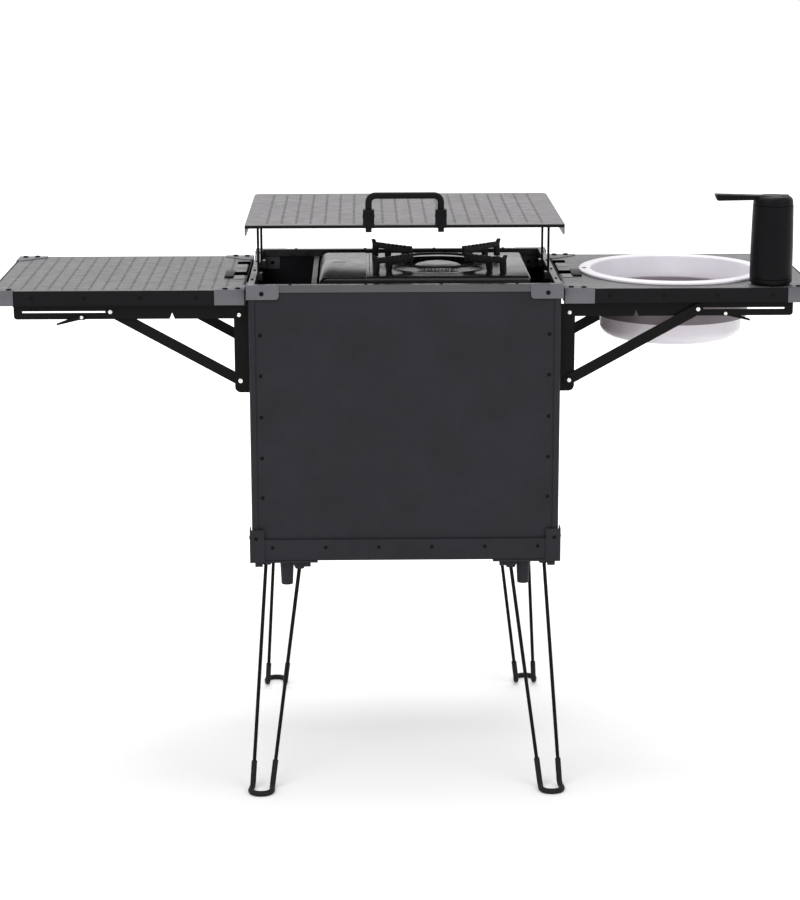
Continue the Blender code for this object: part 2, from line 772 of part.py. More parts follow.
def build_wall_plates(paint):
    """Wall plates of the wing brackets, each with its two pivot rivets."""
    high = PIVOT_Z + WALL_PLATE_TOP
    low = STRUT_Z - WALL_PLATE_BOTTOM
    foot = HALF_WIDTH - PANEL_INSET + GAP
    half = BRACKET_T / 2
    for side, hand in SIDES.items():
        for end, sign_y in ENDS.items():
            y = sign_y * BRACKET_Y
            plate = outline(
                (hand * foot, low),
                (hand * (PIVOT_X + WALL_PLATE_OVER), low, WALL_PLATE_OVER),
                (hand * (PIVOT_X + WALL_PLATE_OVER), high, WALL_PLATE_OVER),
                (hand * foot, high),
            )
            base = block(
                (min(hand * foot, hand * (foot + BRACKET_T)), y - WALL_FLANGE_WIDTH / 2, low),
                (max(hand * foot, hand * (foot + BRACKET_T)), y + WALL_FLANGE_WIDTH / 2, high),
            )
            rivets = []
            for z, way in ((PIVOT_Z, hand), (STRUT_Z, -hand)):
                shank = half + GAP + BRACKET_T + GAP
                profile = [
                    (0, 0),
                    (RIVET_RADIUS, 0),
                    (RIVET_RADIUS, shank),
                    (RIVET_HEAD_RADIUS, shank),
                    (RIVET_HEAD_RADIUS, shank + RIVET_HEAD_T),
                    (0, shank + RIVET_HEAD_T),
                ]
                sized = [(radius, way * along) for radius, along in profile]
                rivets.append(turned(sized, (hand * PIVOT_X, y, z), "Y", PIN_SEGMENTS))
            solid(
                f"wall_plate_{side}_{end}",
                prism("Y", plate, y - half, y + half),
                paint,
                add=[base, *rivets],
            )


def build_wing(side, hand, body, frame_paint, top_paint):
    """One wing table: its frame, its top and its two slotted arms."""
    half_x = WING_LENGTH / 2
    half_y = WING_DEPTH / 2
    seat = WING_Z - WING_PANEL_T - GAP
    wall = WING_RAIL_WALL
    profile = [
        (0, WING_BASE_Z),
        (0, WING_Z),
        (wall, WING_Z),
        (wall, seat),
        (WING_LEDGE, seat),
        (WING_LEDGE, seat - WING_LEDGE_T),
        (wall, seat - WING_LEDGE_T),
        (wall, WING_BASE_Z + WING_LEDGE_T),
        (WING_FLANGE, WING_BASE_Z + WING_LEDGE_T),
        (WING_FLANGE, WING_BASE_Z),
    ]
    solid(
        f"wing_frame_{side}",
        frame_ring(profile, half_x, half_y, hand * WING_MIDDLE),
        frame_paint,
        body,
    )
    inner = wall + GAP
    middle = hand * WING_MIDDLE
    edge = rectangle(middle - half_x + inner, inner - half_y, middle + half_x - inner, half_y - inner)
    holes = []
    if side == "right":
        hole = BASIN_RIM_WALL_RADIUS + BASIN_HOLE_GAP
        holes.append(circle(BASIN_X, 0, hole, BASIN_SEGMENTS))
    solid(f"wing_panel_{side}", prism("Z", edge, WING_Z - WING_PANEL_T, WING_Z, holes), top_paint, body)
    for end, sign_y in ENDS.items():
        build_arm(f"wing_arm_{side}_{end}", hand, sign_y * BRACKET_Y, body, frame_paint)


def build_arm(name, hand, y, body, paint):
    """Slotted arm under a wing's rail; its fold pivot bore is at the inner end."""
    near = y + hand * (BRACKET_T / 2 + GAP)
    far = near + hand * BRACKET_T
    high = WING_BASE_Z - GAP
    low = PIVOT_Z - ARM_DOWN
    edge = outline(
        (hand * (PIVOT_X - ARM_BACK), low, ARM_CORNER),
        (hand * (PIVOT_X + NOTCH_AT - NOTCH_HALF), low),
        (hand * (PIVOT_X + NOTCH_AT), low + NOTCH_DEPTH),
        (hand * (PIVOT_X + NOTCH_AT + NOTCH_HALF), low),
        (hand * (PIVOT_X + ARM_LENGTH), low, ARM_CORNER),
        (hand * (PIVOT_X + ARM_LENGTH), high),
        (hand * (PIVOT_X - ARM_BACK), high),
    )
    bore = circle(hand * PIVOT_X, PIVOT_Z, RIVET_RADIUS + RUN, PIN_SEGMENTS)
    slot_radius = SLOT_WIDTH / 2
    slot = outline(
        (hand * (PIVOT_X + SLOT_START), PIVOT_Z + SLOT_RISE - slot_radius),
        (hand * (PIVOT_X + SLOT_END), PIVOT_Z + SLOT_RISE - slot_radius),
        (hand * (PIVOT_X + SLOT_END), PIVOT_Z + SLOT_RISE + slot_radius),
        (hand * (PIVOT_X + SLOT_START), PIVOT_Z + SLOT_RISE + slot_radius),
    )
    lever_bore = circle(hand * (PIVOT_X + LEVER_AT), LEVER_Z, LEVER_PIN_RADIUS + RUN, PIN_SEGMENTS)
    flange_start = hand * (WING_INNER + WING_FLANGE)
    flange_stop = hand * (PIVOT_X + ARM_LENGTH)
    flange = block(
        (min(flange_start, flange_stop), min(near, far + hand * ARM_FLANGE), high - ARM_FLANGE_T),
        (max(flange_start, flange_stop), max(near, far + hand * ARM_FLANGE), high),
    )
    solid(
        name,
        prism("Y", edge, near, far, [bore, slot, lever_bore]),
        paint,
        body,
        add=[flange],
    )


def build_strut(name, hand, y, body, paint):
    """Strut from the wall plate's lower rivet to the arm's slot, with a spacer boss at the slot."""
    near = y - hand * (BRACKET_T / 2 + GAP)
    far = near - hand * BRACKET_T
    half = STRUT_WIDTH / 2
    top_z = PIVOT_Z + SLOT_RISE
    angle = math.atan2(top_z - STRUT_Z, STRUT_REACH)
    along = Vector((math.cos(angle), math.sin(angle)))
    across = Vector((-along.y, along.x))
    foot = Vector((PIVOT_X, STRUT_Z))
    head = Vector((PIVOT_X + STRUT_REACH, top_z))
    edge = []
    corners = ((foot, -1, -1), (head, 1, -1), (head, 1, 1), (foot, -1, 1))
    for middle, out, over in corners:
        corner = middle + along * (out * half) + across * (over * half)
        edge.append((hand * corner.x, corner.y, half - GAP))
    bore = circle(hand * foot.x, foot.y, RIVET_RADIUS + RUN, PIN_SEGMENTS)
    boss = rod(
        (hand * head.x, near - hand * BRACKET_T / 2, head.y),
        (hand * head.x, y + hand * BRACKET_T / 2, head.y),
        STRUT_BOSS_RADIUS,
    )
    rivet = rod(
        (hand * head.x, far + hand * GAP, head.y),
        (hand * head.x, far - hand * RIVET_HEAD_T, head.y),
        RIVET_HEAD_RADIUS,
    )
    shape = prism("Y", outline(*edge), near, far, [bore])
    solid(name, shape, paint, body, add=[boss, rivet], pivot=(hand * PIVOT_X, y, STRUT_Z))


def build_lever(name, hand, y, body, paint):
    """Release lever on a pin through the arm, its tip below the arm."""
    near = y + hand * (BRACKET_T / 2 + BRACKET_T + 2 * GAP)
    far = near + hand * LEVER_T
    at = PIVOT_X + LEVER_AT
    half = LEVER_WIDTH / 2
    edge = outline(
        (hand * (at - LEVER_BACK), LEVER_Z - half, half / 2),
        (hand * (at + half), LEVER_Z - half),
        (hand * (at + LEVER_REACH), LEVER_Z - LEVER_DIP),
        (hand * (at + LEVER_REACH), LEVER_Z - LEVER_DIP + LEVER_TIP),
        (hand * (at + half), LEVER_Z + half),
        (hand * (at - LEVER_BACK), LEVER_Z + half, half / 2),
    )
    pin = rod(
        (hand * at, near + hand * LEVER_T / 2, LEVER_Z),
        (hand * at, near - hand * (GAP + BRACKET_T), LEVER_Z),
        LEVER_PIN_RADIUS,
    )
    solid(name, prism("Y", edge, near, far), paint, body, add=[pin], pivot=(hand * at, y, LEVER_Z))


def basin_ring(radius, top, bottom, out_hook, in_hook):
    """Closed profile of a basin ring with an outer hook at its top or an inner hook at its bottom."""
    inner = radius - BASIN_WALL
    profile = [(radius, bottom), (radius, top - BASIN_HOOK_T)]
    if out_hook:
        profile += [(radius + out_hook, top - BASIN_HOOK_T), (radius + out_hook, top)]
    else:
        profile += [(radius, top)]
    profile += [(inner, top)]
    if in_hook:
        profile += [
            (inner, bottom + BASIN_HOOK_T),
            (inner - in_hook, bottom + BASIN_HOOK_T),
            (inner - in_hook, bottom),
        ]
    else:
        profile += [(inner, bottom)]
    return profile


def build_basin(bodies, plastic):
    """Basin in three telescoping rings that hang on each other's hooks."""
    rim_low = WING_Z - BASIN_RING
    rim_top = WING_Z + GAP + BASIN_RIM_T
    inner = BASIN_RIM_WALL_RADIUS - BASIN_WALL
    rim = [
        (BASIN_RIM_WALL_RADIUS, rim_low),
        (BASIN_RIM_WALL_RADIUS, WING_Z + GAP),
        (BASIN_RIM_RADIUS, WING_Z + GAP),
        (BASIN_RIM_RADIUS, rim_top - BASIN_HOOK_T),
        (BASIN_RIM_RADIUS - BASIN_HOOK_T, rim_top),
        (inner, rim_top),
        (inner, rim_low + BASIN_HOOK_T),
        (inner - BASIN_HOOK, rim_low + BASIN_HOOK_T),
        (inner - BASIN_HOOK, rim_low),
    ]
    middle_radius = inner - BASIN_HOOK - RUN
    middle_top = rim_low + 2 * BASIN_HOOK_T + GAP
    middle_low = middle_top - BASIN_RING
    middle = basin_ring(middle_radius, middle_top, middle_low, BASIN_HOOK, BASIN_HOOK)
    bottom_radius = middle_radius - BASIN_WALL - BASIN_HOOK - RUN
    bottom_top = middle_low + 2 * BASIN_HOOK_T + GAP
    floor_z = WING_Z - BASIN_DEPTH
    quarter = math.pi / 2
    outer_arc = []
    inner_arc = []
    for step in range(FILLET_STEPS + 1):
        angle = quarter * step / FILLET_STEPS
        dip = math.sin(angle)
        out = math.cos(angle)
        centre_r = bottom_radius - BASIN_ROUND
        centre_z = floor_z + BASIN_ROUND
        outer_arc.append((centre_r + BASIN_ROUND * out, centre_z - BASIN_ROUND * dip))
        inner_round = BASIN_ROUND - BASIN_WALL
        inner_arc.append((centre_r + inner_round * out, centre_z - inner_round * dip))
    bottom = [
        (0, floor_z),
        *reversed(outer_arc),
        (bottom_radius, bottom_top - BASIN_HOOK_T),
        (bottom_radius + BASIN_HOOK, bottom_top - BASIN_HOOK_T),
        (bottom_radius + BASIN_HOOK, bottom_top),
        (bottom_radius - BASIN_WALL, bottom_top),
        *inner_arc,
        (0, floor_z + BASIN_WALL),
    ]
    profiles = {"basin_rim": rim, "basin_middle": middle, "basin_bottom": bottom}
    for name, profile in profiles.items():
        shape = turned(profile, (BASIN_X, 0, 0), segments=BASIN_SEGMENTS)
        solid(name, shape, plastic, bodies[name], pivot=(BASIN_X, 0, WING_Z))


def build_pump(bodies, plastic, soft):
    """Tap pump: round body, swivelling cap with the spout, and the button in the cap."""
    low = PUMP_BASE_Z
    groove = low + PUMP_GROOVE_AT
    body = [
        (0, low),
        (PUMP_RADIUS - PUMP_GROOVE, low),
        (PUMP_RADIUS, low + PUMP_GROOVE),
        (PUMP_RADIUS, groove),
        (PUMP_RADIUS - PUMP_GROOVE, groove),
        (PUMP_RADIUS - PUMP_GROOVE, groove + PUMP_GROOVE),
        (PUMP_RADIUS, groove + PUMP_GROOVE),
        (PUMP_CAP_RADIUS, PUMP_CAP_Z - GAP),
        (0, PUMP_CAP_Z - GAP),
    ]
    centre = (PUMP_X, PUMP_Y, 0)
    pivot = (PUMP_X, PUMP_Y, PUMP_CAP_Z)
    solid("pump_body", turned(body, centre), plastic, bodies["pump"], pivot=pivot)
    shoulder = [
        (
            PUMP_CAP_RADIUS - PUMP_CAP_ROUND * (1 - math.cos(math.pi / 2 * step / FILLET_STEPS)),
            PUMP_TOP_Z - PUMP_CAP_ROUND * (1 - math.sin(math.pi / 2 * step / FILLET_STEPS)),
        )
        for step in range(FILLET_STEPS + 1)
    ]
    cap = [(0, PUMP_CAP_Z), (PUMP_CAP_RADIUS, PUMP_CAP_Z), *shoulder, (0, PUMP_TOP_Z)]
    arm_top = PUMP_TOP_Z + SPOUT_PROUD
    arm_low = arm_top - SPOUT_T
    tip = PUMP_X - SPOUT_REACH
    side = outline(
        (PUMP_X, arm_low),
        (PUMP_X, arm_top),
        (tip, arm_top),
        (tip + SPOUT_END, arm_low - SPOUT_NOSE + SPOUT_END),
        (tip + SPOUT_NOSE_LENGTH, arm_low),
    )
    half = SPOUT_WIDTH / 2
    arm = prism("Y", side, PUMP_Y - half, PUMP_Y + half)
    button_x = PUMP_X + BUTTON_OUT
    pocket_z = PUMP_TOP_Z - BUTTON_DEPTH - BUTTON_TRAVEL
    pocket = rod(
        (button_x, PUMP_Y, pocket_z),
        (button_x, PUMP_Y, PUMP_TOP_Z + OVERRUN),
        BUTTON_RADIUS + GAP,
        segments=ROUND_SEGMENTS,
    )
    solid("pump_spout", turned(cap, centre), plastic, bodies["spout"], [arm], [pocket], pivot)
    button = rod(
        (button_x, PUMP_Y, pocket_z + BUTTON_TRAVEL + GAP),
        (button_x, PUMP_Y, PUMP_TOP_Z + BUTTON_RISE),
        BUTTON_RADIUS,
        segments=ROUND_SEGMENTS,
    )
    solid("pump_button", button, soft, bodies["button"], pivot=(button_x, PUMP_Y, PUMP_TOP_Z))


def build_stove(bodies, enamel, steel, plastic):
    """Gas stove on the tray: shell, cartridge, its cover, burner, pan support and the knob at the back."""
    half_y = STOVE_DEPTH / 2
    shell = rectangle(STOVE_X0, -half_y, STOVE_X1, half_y, STOVE_CORNER)
    wall = STOVE_WALL
    bay = block(
        (BAY_X0, BAY_END - half_y, STOVE_BASE_Z + BAY_FLOOR),
        (BAY_X1, half_y - BAY_END, STOVE_TOP_Z + OVERRUN),
    )
    step = block(
        (STOVE_X0 - OVERRUN, -half_y - OVERRUN, DECK_Z),
        (COVER_X1 + GAP, half_y + OVERRUN, STOVE_TOP_Z + OVERRUN),
    )
    under = block(
        (BAY_X1 + wall, wall - half_y, STOVE_BASE_Z - OVERRUN),
        (STOVE_X1 - wall, half_y - wall, WELL_Z - wall),
    )
    well_top = (BURNER_X, 0, STOVE_TOP_Z + OVERRUN)
    well = rod((BURNER_X, 0, WELL_Z), well_top, WELL_RADIUS, segments=BASIN_SEGMENTS)
    solid("stove_body", prism("Z", shell, STOVE_BASE_Z, STOVE_TOP_Z), enamel, cut=[bay, step, under, well])
    cover = outline(
        (STOVE_X0, -half_y, STOVE_CORNER),
        (COVER_X1, -half_y),
        (COVER_X1, half_y),
        (STOVE_X0, half_y, STOVE_CORNER),
    )
    solid(
        "cartridge_cover",
        prism("Z", cover, STOVE_TOP_Z - COVER_T, STOVE_TOP_Z),
        enamel,
        bodies["cover"],
        pivot=(COVER_X1, 0, STOVE_TOP_Z),
    )
    bay_middle = (BAY_X0 + BAY_X1) / 2
    axis_z = STOVE_BASE_Z + BAY_FLOOR + GAP + CARTRIDGE_RADIUS
    half_length = CARTRIDGE_LENGTH / 2
    bottle = [
        (0, -half_length),
        (CARTRIDGE_RADIUS, -half_length),
        (CARTRIDGE_RADIUS, half_length - CARTRIDGE_SHOULDER),
        (CARTRIDGE_NECK_RADIUS, half_length),
        (0, half_length),
    ]
    solid("gas_cartridge", turned(bottle, (bay_middle, 0, axis_z), "Y"), steel)
    head = [
        (0, WELL_Z + GAP),
        (BURNER_NECK_RADIUS, WELL_Z + GAP),
        (BURNER_NECK_RADIUS, WELL_Z + BURNER_NECK),
        (BURNER_RADIUS, WELL_Z + BURNER_NECK),
        (BURNER_RADIUS, WELL_Z + BURNER_HEIGHT - BURNER_NECK),
        (BURNER_NECK_RADIUS, WELL_Z + BURNER_HEIGHT),
        (0, WELL_Z + BURNER_HEIGHT),
    ]
    solid("burner", turned(head, (BURNER_X, 0, 0)), steel)
    build_support(bodies["support"], enamel)
    knob_z = STOVE_BASE_Z + STOVE_HEIGHT / 2
    dial = [
        (0, half_y + GAP),
        (KNOB_RADIUS, half_y + GAP),
        (KNOB_RADIUS, half_y + KNOB_GRIP),
        (0, half_y + KNOB_GRIP),
    ]
    grip = block(
        (bay_middle - KNOB_GRIP / 2, half_y + GAP, knob_z - KNOB_RADIUS),
        (bay_middle + KNOB_GRIP / 2, half_y + KNOB_LENGTH, knob_z + KNOB_RADIUS),
    )
    solid(
        "stove_knob",
        turned(dial, (bay_middle, 0, knob_z), "Y"),
        plastic,
        bodies["knob"],
        add=[grip],
        pivot=(bay_middle, half_y, knob_z),
    )


def build_support(body, enamel):
    """Pan support: a ring and four serrated, horned arms that stand on the stove's top."""
    base = STOVE_TOP_Z + GAP
    top = base + SUPPORT_HEIGHT
    under = top - SUPPORT_STEP
    ring_low = base + SUPPORT_RING_RISE
    ring_half = SUPPORT_RING_WIDTH / 2
    horn_root = SUPPORT_REACH - SUPPORT_HORN_WIDTH
    edge = [
        (SUPPORT_REACH, base),
        (SUPPORT_REACH, top + SUPPORT_HORN),
        (horn_root, top + SUPPORT_HORN),
        (horn_root, top),
    ]
    place_along = horn_root - TOOTH
    while place_along > SUPPORT_INNER + 2 * TOOTH:
        edge += [(place_along, top), (place_along - TOOTH, top - TOOTH), (place_along - 2 * TOOTH, top)]
        place_along -= 3 * TOOTH
    edge += [
        (SUPPORT_INNER, top),
        (SUPPORT_INNER, under),
        (SUPPORT_RING_RADIUS - ring_half, under),
        (SUPPORT_RING_RADIUS - ring_half, ring_low),
        (SUPPORT_RING_RADIUS + ring_half, ring_low),
        (SUPPORT_RING_RADIUS + ring_half, under),
        (SUPPORT_REACH - SUPPORT_LEG, under),
        (SUPPORT_REACH - SUPPORT_LEG, base),
    ]
    arms = []
    half_turn = math.pi
    for angle in (
        SUPPORT_ARM_ANGLE,
        half_turn - SUPPORT_ARM_ANGLE,
        half_turn + SUPPORT_ARM_ANGLE,
        -SUPPORT_ARM_ANGLE,
    ):
        arm = prism("Y", edge, -SUPPORT_ARM_T / 2, SUPPORT_ARM_T / 2)
        turn = Matrix.Rotation(angle, 4, "Z")
        bmesh.ops.transform(arm, matrix=Matrix.Translation((BURNER_X, 0, 0)) @ turn, verts=arm.verts[:])
        arms.append(arm)
    ring = [
        (SUPPORT_RING_RADIUS - ring_half, ring_low + GAP),
        (SUPPORT_RING_RADIUS + ring_half, ring_low + GAP),
        (SUPPORT_RING_RADIUS + ring_half, ring_low + SUPPORT_RING_T),
        (SUPPORT_RING_RADIUS - ring_half, ring_low + SUPPORT_RING_T),
    ]
    solid(
        "pan_support",
        turned(ring, (BURNER_X, 0, 0)),
        enamel,
        body,
        add=arms,
        pivot=(BURNER_X, 0, base),
    )


def build_lid(bodies, sheet, plastic, steel):
    """Lid sheet with flanges and handle sockets, its two bent rods, and the bail handle."""
    half_x = LID_WIDTH / 2
    half_y = LID_DEPTH / 2
    under = LID_Z - LID_T
    edge = outline(
        (-half_x, -half_y),
        (half_x, -half_y),
        (half_x, half_y, LID_REAR_CORNER),
        (-half_x, half_y, LID_REAR_CORNER),
    )
    flange_z = LID_Z - LID_FLANGE
    join_z = under + LID_T / 2
    added = [
        block((-half_x, -half_y, LID_Z - LID_LIP), (half_x, LID_T - half_y, join_z)),
        block((-half_x, -half_y, flange_z), (LID_T - half_x, half_y - LID_REAR_CORNER, join_z)),
        block((half_x - LID_T, -half_y, flange_z), (half_x, half_y - LID_REAR_CORNER, join_z)),
    ]
    bores = []
    axis_y = SOCKET_WALL + RUN + HANDLE_RADIUS * math.sqrt(2) - half_y
    axis_z = LID_Z + HANDLE_AXIS_RISE
    pins = []
    for sign in SIDES.values():
        x = sign * HANDLE_SPACING / 2
        wide = SOCKET_WIDTH / 2
        gap = wide - SOCKET_WALL
        socket = [
            (x - wide, -half_y),
            (x + wide, -half_y),
            (x + wide, SOCKET_DEPTH - half_y),
            (x + gap, SOCKET_DEPTH - half_y),
            (x + gap, SOCKET_WALL - half_y),
            (x - gap, SOCKET_WALL - half_y),
            (x - gap, SOCKET_DEPTH - half_y),
            (x - wide, SOCKET_DEPTH - half_y),
        ]
        added.append(prism("Z", socket, join_z, LID_Z + SOCKET_HEIGHT))
        added.append(
            block(
                (x - NUB_WIDTH / 2, GAP - half_y, LID_Z - NUB_DROP),
                (x + NUB_WIDTH / 2, NUB_DEPTH - half_y, join_z),
            )
        )
        reach = wide + OVERRUN
        bores.append(
            rod((x - reach, axis_y, axis_z), (x + reach, axis_y, axis_z), SOCKET_PIN_RADIUS + RUN)
        )
        pins.append(rod((x - wide, axis_y, axis_z), (x + wide, axis_y, axis_z), SOCKET_PIN_RADIUS))
    solid("lid_panel", prism("Z", edge, under, LID_Z), sheet, bodies["lid"], added, bores)
    grip_z = LID_Z + HANDLE_RISE - HANDLE_RADIUS
    leg_x = HANDLE_SPACING / 2
    foot_z = axis_z - HANDLE_RADIUS
    corners = [
        (-leg_x, axis_y, foot_z),
        (-leg_x, axis_y, grip_z),
        (leg_x, axis_y, grip_z),
        (leg_x, axis_y, foot_z),
    ]
    path = fillet_path(corners, [0, HANDLE_BEND, HANDLE_BEND, 0])
    bar = bent_bar(path, HANDLE_RADIUS)
    solid("lid_handle", bar, plastic, bodies["handle"], pins, pivot=(0, axis_y, axis_z))
    top = under - GAP
    low = RIM_Z - LID_ROD_BELOW_RIM
    half_gap = LID_ROD_SPACING / 2
    for side, sign in SIDES.items():
        x = sign * LID_ROD_X
        corners = [(x, -half_gap, top), (x, -half_gap, low), (x, half_gap, low), (x, half_gap, top)]
        path = fillet_path(corners, [0, LID_ROD_BEND, LID_ROD_BEND, 0])
        first = top - RIM_BASE_Z + GAP
        second = first + LID_STOP_LENGTH
        whole = path_length(path)
        steps = [first, second, whole - second, whole - first]
        share = LID_STOP_RADIUS / LID_ROD_RADIUS
        stepped_wire(f"lid_rods_{side}", path, steps, LID_ROD_RADIUS, share, steel, bodies["lid"])


def bent_bar(points, radius):
    """Closed mesh of a round bar along the points."""
    guide = wire("bent_bar_guide", points, radius, None)
    mesh = bpy.data.meshes.new_from_object(guide)
    bpy.data.objects.remove(guide, do_unlink=True)
    bm = bmesh.new()
    bm.from_mesh(mesh)
    bpy.data.meshes.remove(mesh)
    bmesh.ops.remove_doubles(bm, verts=bm.verts[:], dist=MERGE)
    return bm


def stepped_wire(name, path, steps, radius, share, material, body):
    """Wire whose radius grows by the share between each pair of places along it."""
    points, marks = stepped_path(path, steps, LEG_SLEEVE_STEP)
    shares = []
    thick = False
    for i in range(len(points)):
        if i in marks:
            thick = not thick
        shares.append(share if thick else 1)
    wire(name, points, radius, material, body, shares)


def build_legs(bodies, steel):
    """Hairpin wire legs, their ends in the brackets' ears and their sleeved loops flat on the ground."""
    ground = LEG_SLEEVE_RADIUS
    for end, sign_y in ENDS.items():
        drop = LEG_AXIS_DROP_FRONT if end == "front" else LEG_AXIS_DROP_REAR
        axis_z = BOX_BASE_Z - drop
        y = sign_y * LEG_Y
        bend_y = sign_y * (LEG_Y + LEG_SPREAD)
        tip_y = bend_y + sign_y * LEG_FOOT_REACH
        loop = (LEG_OUTER_FOOT - LEG_INNER_FOOT) / 2 - GAP
        outer_top = LEG_OUTER_TOP if end == "front" else LEG_OUTER_TOP + LEG_REAR_TOP_OUT
        inner_top = LEG_INNER_TOP if end == "front" else LEG_INNER_TOP + LEG_REAR_TOP_OUT
        outer_foot = LEG_OUTER_FOOT if end == "front" else LEG_OUTER_FOOT + LEG_REAR_FOOT_OUT
        inner_foot = LEG_INNER_FOOT if end == "front" else LEG_INNER_FOOT + LEG_REAR_FOOT_OUT
        for side, sign_x in SIDES.items():
            corners = [
                (sign_x * (outer_top + LEG_STUB), y, axis_z),
                (sign_x * outer_top, y, axis_z),
                (sign_x * outer_foot, bend_y, ground),
                (sign_x * (outer_foot + LEG_LOOP_FLARE), tip_y, ground),
                (sign_x * inner_foot, tip_y, ground),
                (sign_x * inner_foot, bend_y, ground),
                (sign_x * inner_top, y, axis_z),
                (sign_x * (inner_top - LEG_STUB), y, axis_z),
            ]
            radii = [0, LEG_TOP_BEND, LEG_FOOT_BEND, loop, loop, LEG_FOOT_BEND, LEG_TOP_BEND, 0]
            path = fillet_path(corners, radii)
            outer_end, outer_knee = corners[1:3]
            inner_knee, inner_end = corners[5:7]
            outer = (Vector(outer_end) - Vector(outer_knee)).length
            inner = (Vector(inner_end) - Vector(inner_knee)).length
            first = LEG_STUB + outer - LEG_SLEEVE_LENGTH
            last = path_length(path) - (LEG_STUB + inner - LEG_SLEEVE_LENGTH)
            share = LEG_SLEEVE_RADIUS / LEG_WIRE_RADIUS
            name = f"leg_{end}_{side}"
            stepped_wire(name, path, [first, last], LEG_WIRE_RADIUS, share, steel, bodies[name])


def build_bodies():
    """Empties on the joints' axes, each carried by the body it moves on."""
    bodies = {}
    half_y = STOVE_DEPTH / 2
    bay_middle = (BAY_X0 + BAY_X1) / 2
    knob = (bay_middle, half_y, STOVE_BASE_Z + STOVE_HEIGHT / 2)
    basin = (BASIN_X, 0, WING_Z)
    pump = (PUMP_X, PUMP_Y, PUMP_CAP_Z)
    handle_y = SOCKET_WALL + RUN + HANDLE_RADIUS * math.sqrt(2) - LID_DEPTH / 2
    bodies["lid"] = joint_empty("lid_slide", (0, 0, LID_Z))
    bodies["handle"] = joint_empty("handle_axis", (0, handle_y, LID_Z + HANDLE_AXIS_RISE), bodies["lid"])
    for side, hand in SIDES.items():
        wing = joint_empty(f"{side}_wing_axis", (hand * PIVOT_X, 0, PIVOT_Z))
        bodies[f"wing_{side}"] = wing
        bodies[f"strut_{side}"] = joint_empty(f"{side}_strut_axis", (hand * PIVOT_X, 0, STRUT_Z))
        for end, sign_y in ENDS.items():
            place_at = (hand * (PIVOT_X + LEVER_AT), sign_y * BRACKET_Y, LEVER_Z)
            bodies[f"lever_{side}_{end}"] = joint_empty(f"{side}_{end}_lever_axis", place_at, wing)
            drop = LEG_AXIS_DROP_FRONT if end == "front" else LEG_AXIS_DROP_REAR
            axis = (hand * LEG_MIDDLE, sign_y * LEG_Y, BOX_BASE_Z - drop)
            bodies[f"leg_{end}_{side}"] = joint_empty(f"{end}_{side}_leg_axis", axis)
    right = bodies["wing_right"]
    bodies["basin_rim"] = joint_empty("basin_lift", basin, right)
    bodies["basin_middle"] = joint_empty("basin_middle_slide", basin, bodies["basin_rim"])
    bodies["basin_bottom"] = joint_empty("basin_bottom_slide", basin, bodies["basin_rim"])
    bodies["pump"] = joint_empty("pump_lift", pump, right)
    bodies["spout"] = joint_empty("spout_axis", pump, bodies["pump"])
    button = (PUMP_X + BUTTON_OUT, PUMP_Y, PUMP_TOP_Z)
    bodies["button"] = joint_empty("button_slide", button, bodies["spout"])
    bodies["support"] = joint_empty("pan_support_lift", (BURNER_X, 0, STOVE_TOP_Z))
    bodies["cover"] = joint_empty("cartridge_cover_axis", (COVER_X1, 0, STOVE_TOP_Z))
    bodies["knob"] = joint_empty("knob_axis", knob)
    return bodies


def main():
    """Builds every piece."""
    clear_scene()
    charcoal = finish("charcoal paint", (0.035, 0.036, 0.040), 0.5, 0.3)
    grey = finish("grey coat", (0.20, 0.20, 0.21), 0.45, 0.4)
    slate = finish("grey slatted sheet", (0.30, 0.30, 0.31), 0.5, 0.5)
    black = finish("black steel", (0.02, 0.02, 0.022), 0.45, 0.4)
    moulded = finish("black plastic", (0.025, 0.025, 0.027), 0.5)
    white = finish("white plastic", (0.80, 0.79, 0.82), 0.4)
    enamel = finish("black enamel", (0.03, 0.03, 0.03), 0.3)
    steel = finish("bare steel", (0.45, 0.45, 0.46), 0.35, 0.9)
    bodies = build_bodies()
    build_panels(charcoal)
    build_posts(charcoal)
    build_rim(charcoal)
    build_pan(charcoal)
    build_top_guards(grey)
    build_base_brackets(charcoal)
    build_tray(grey)
    build_wall_plates(charcoal)
    for side, hand in SIDES.items():
        wing = bodies[f"wing_{side}"]
        build_wing(side, hand, wing, charcoal, slate)
        for end, sign_y in ENDS.items():
            y = sign_y * BRACKET_Y
            build_strut(f"strut_{side}_{end}", hand, y, bodies[f"strut_{side}"], black)
            lever_body = bodies[f"lever_{side}_{end}"]
            build_lever(f"release_lever_{side}_{end}", hand, y, lever_body, black)
    build_lid(bodies, slate, moulded, black)
    build_basin(bodies, white)
    build_pump(bodies, moulded, grey)
    build_stove(bodies, enamel, steel, moulded)
    build_legs(bodies, black)


main()
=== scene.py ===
"""Looks of a folding camp kitchen box: finishes, fasteners, moulded and rounded pieces, studio and camera.

Metres, +Z up, +X along the wings to the basin's side, +Y from the front to the back.
"""

import json
import logging
import math
from collections.abc import Iterable, Sequence
from dataclasses import dataclass
from enum import Enum

import bmesh
import bpy
from mathutils import Matrix, Vector

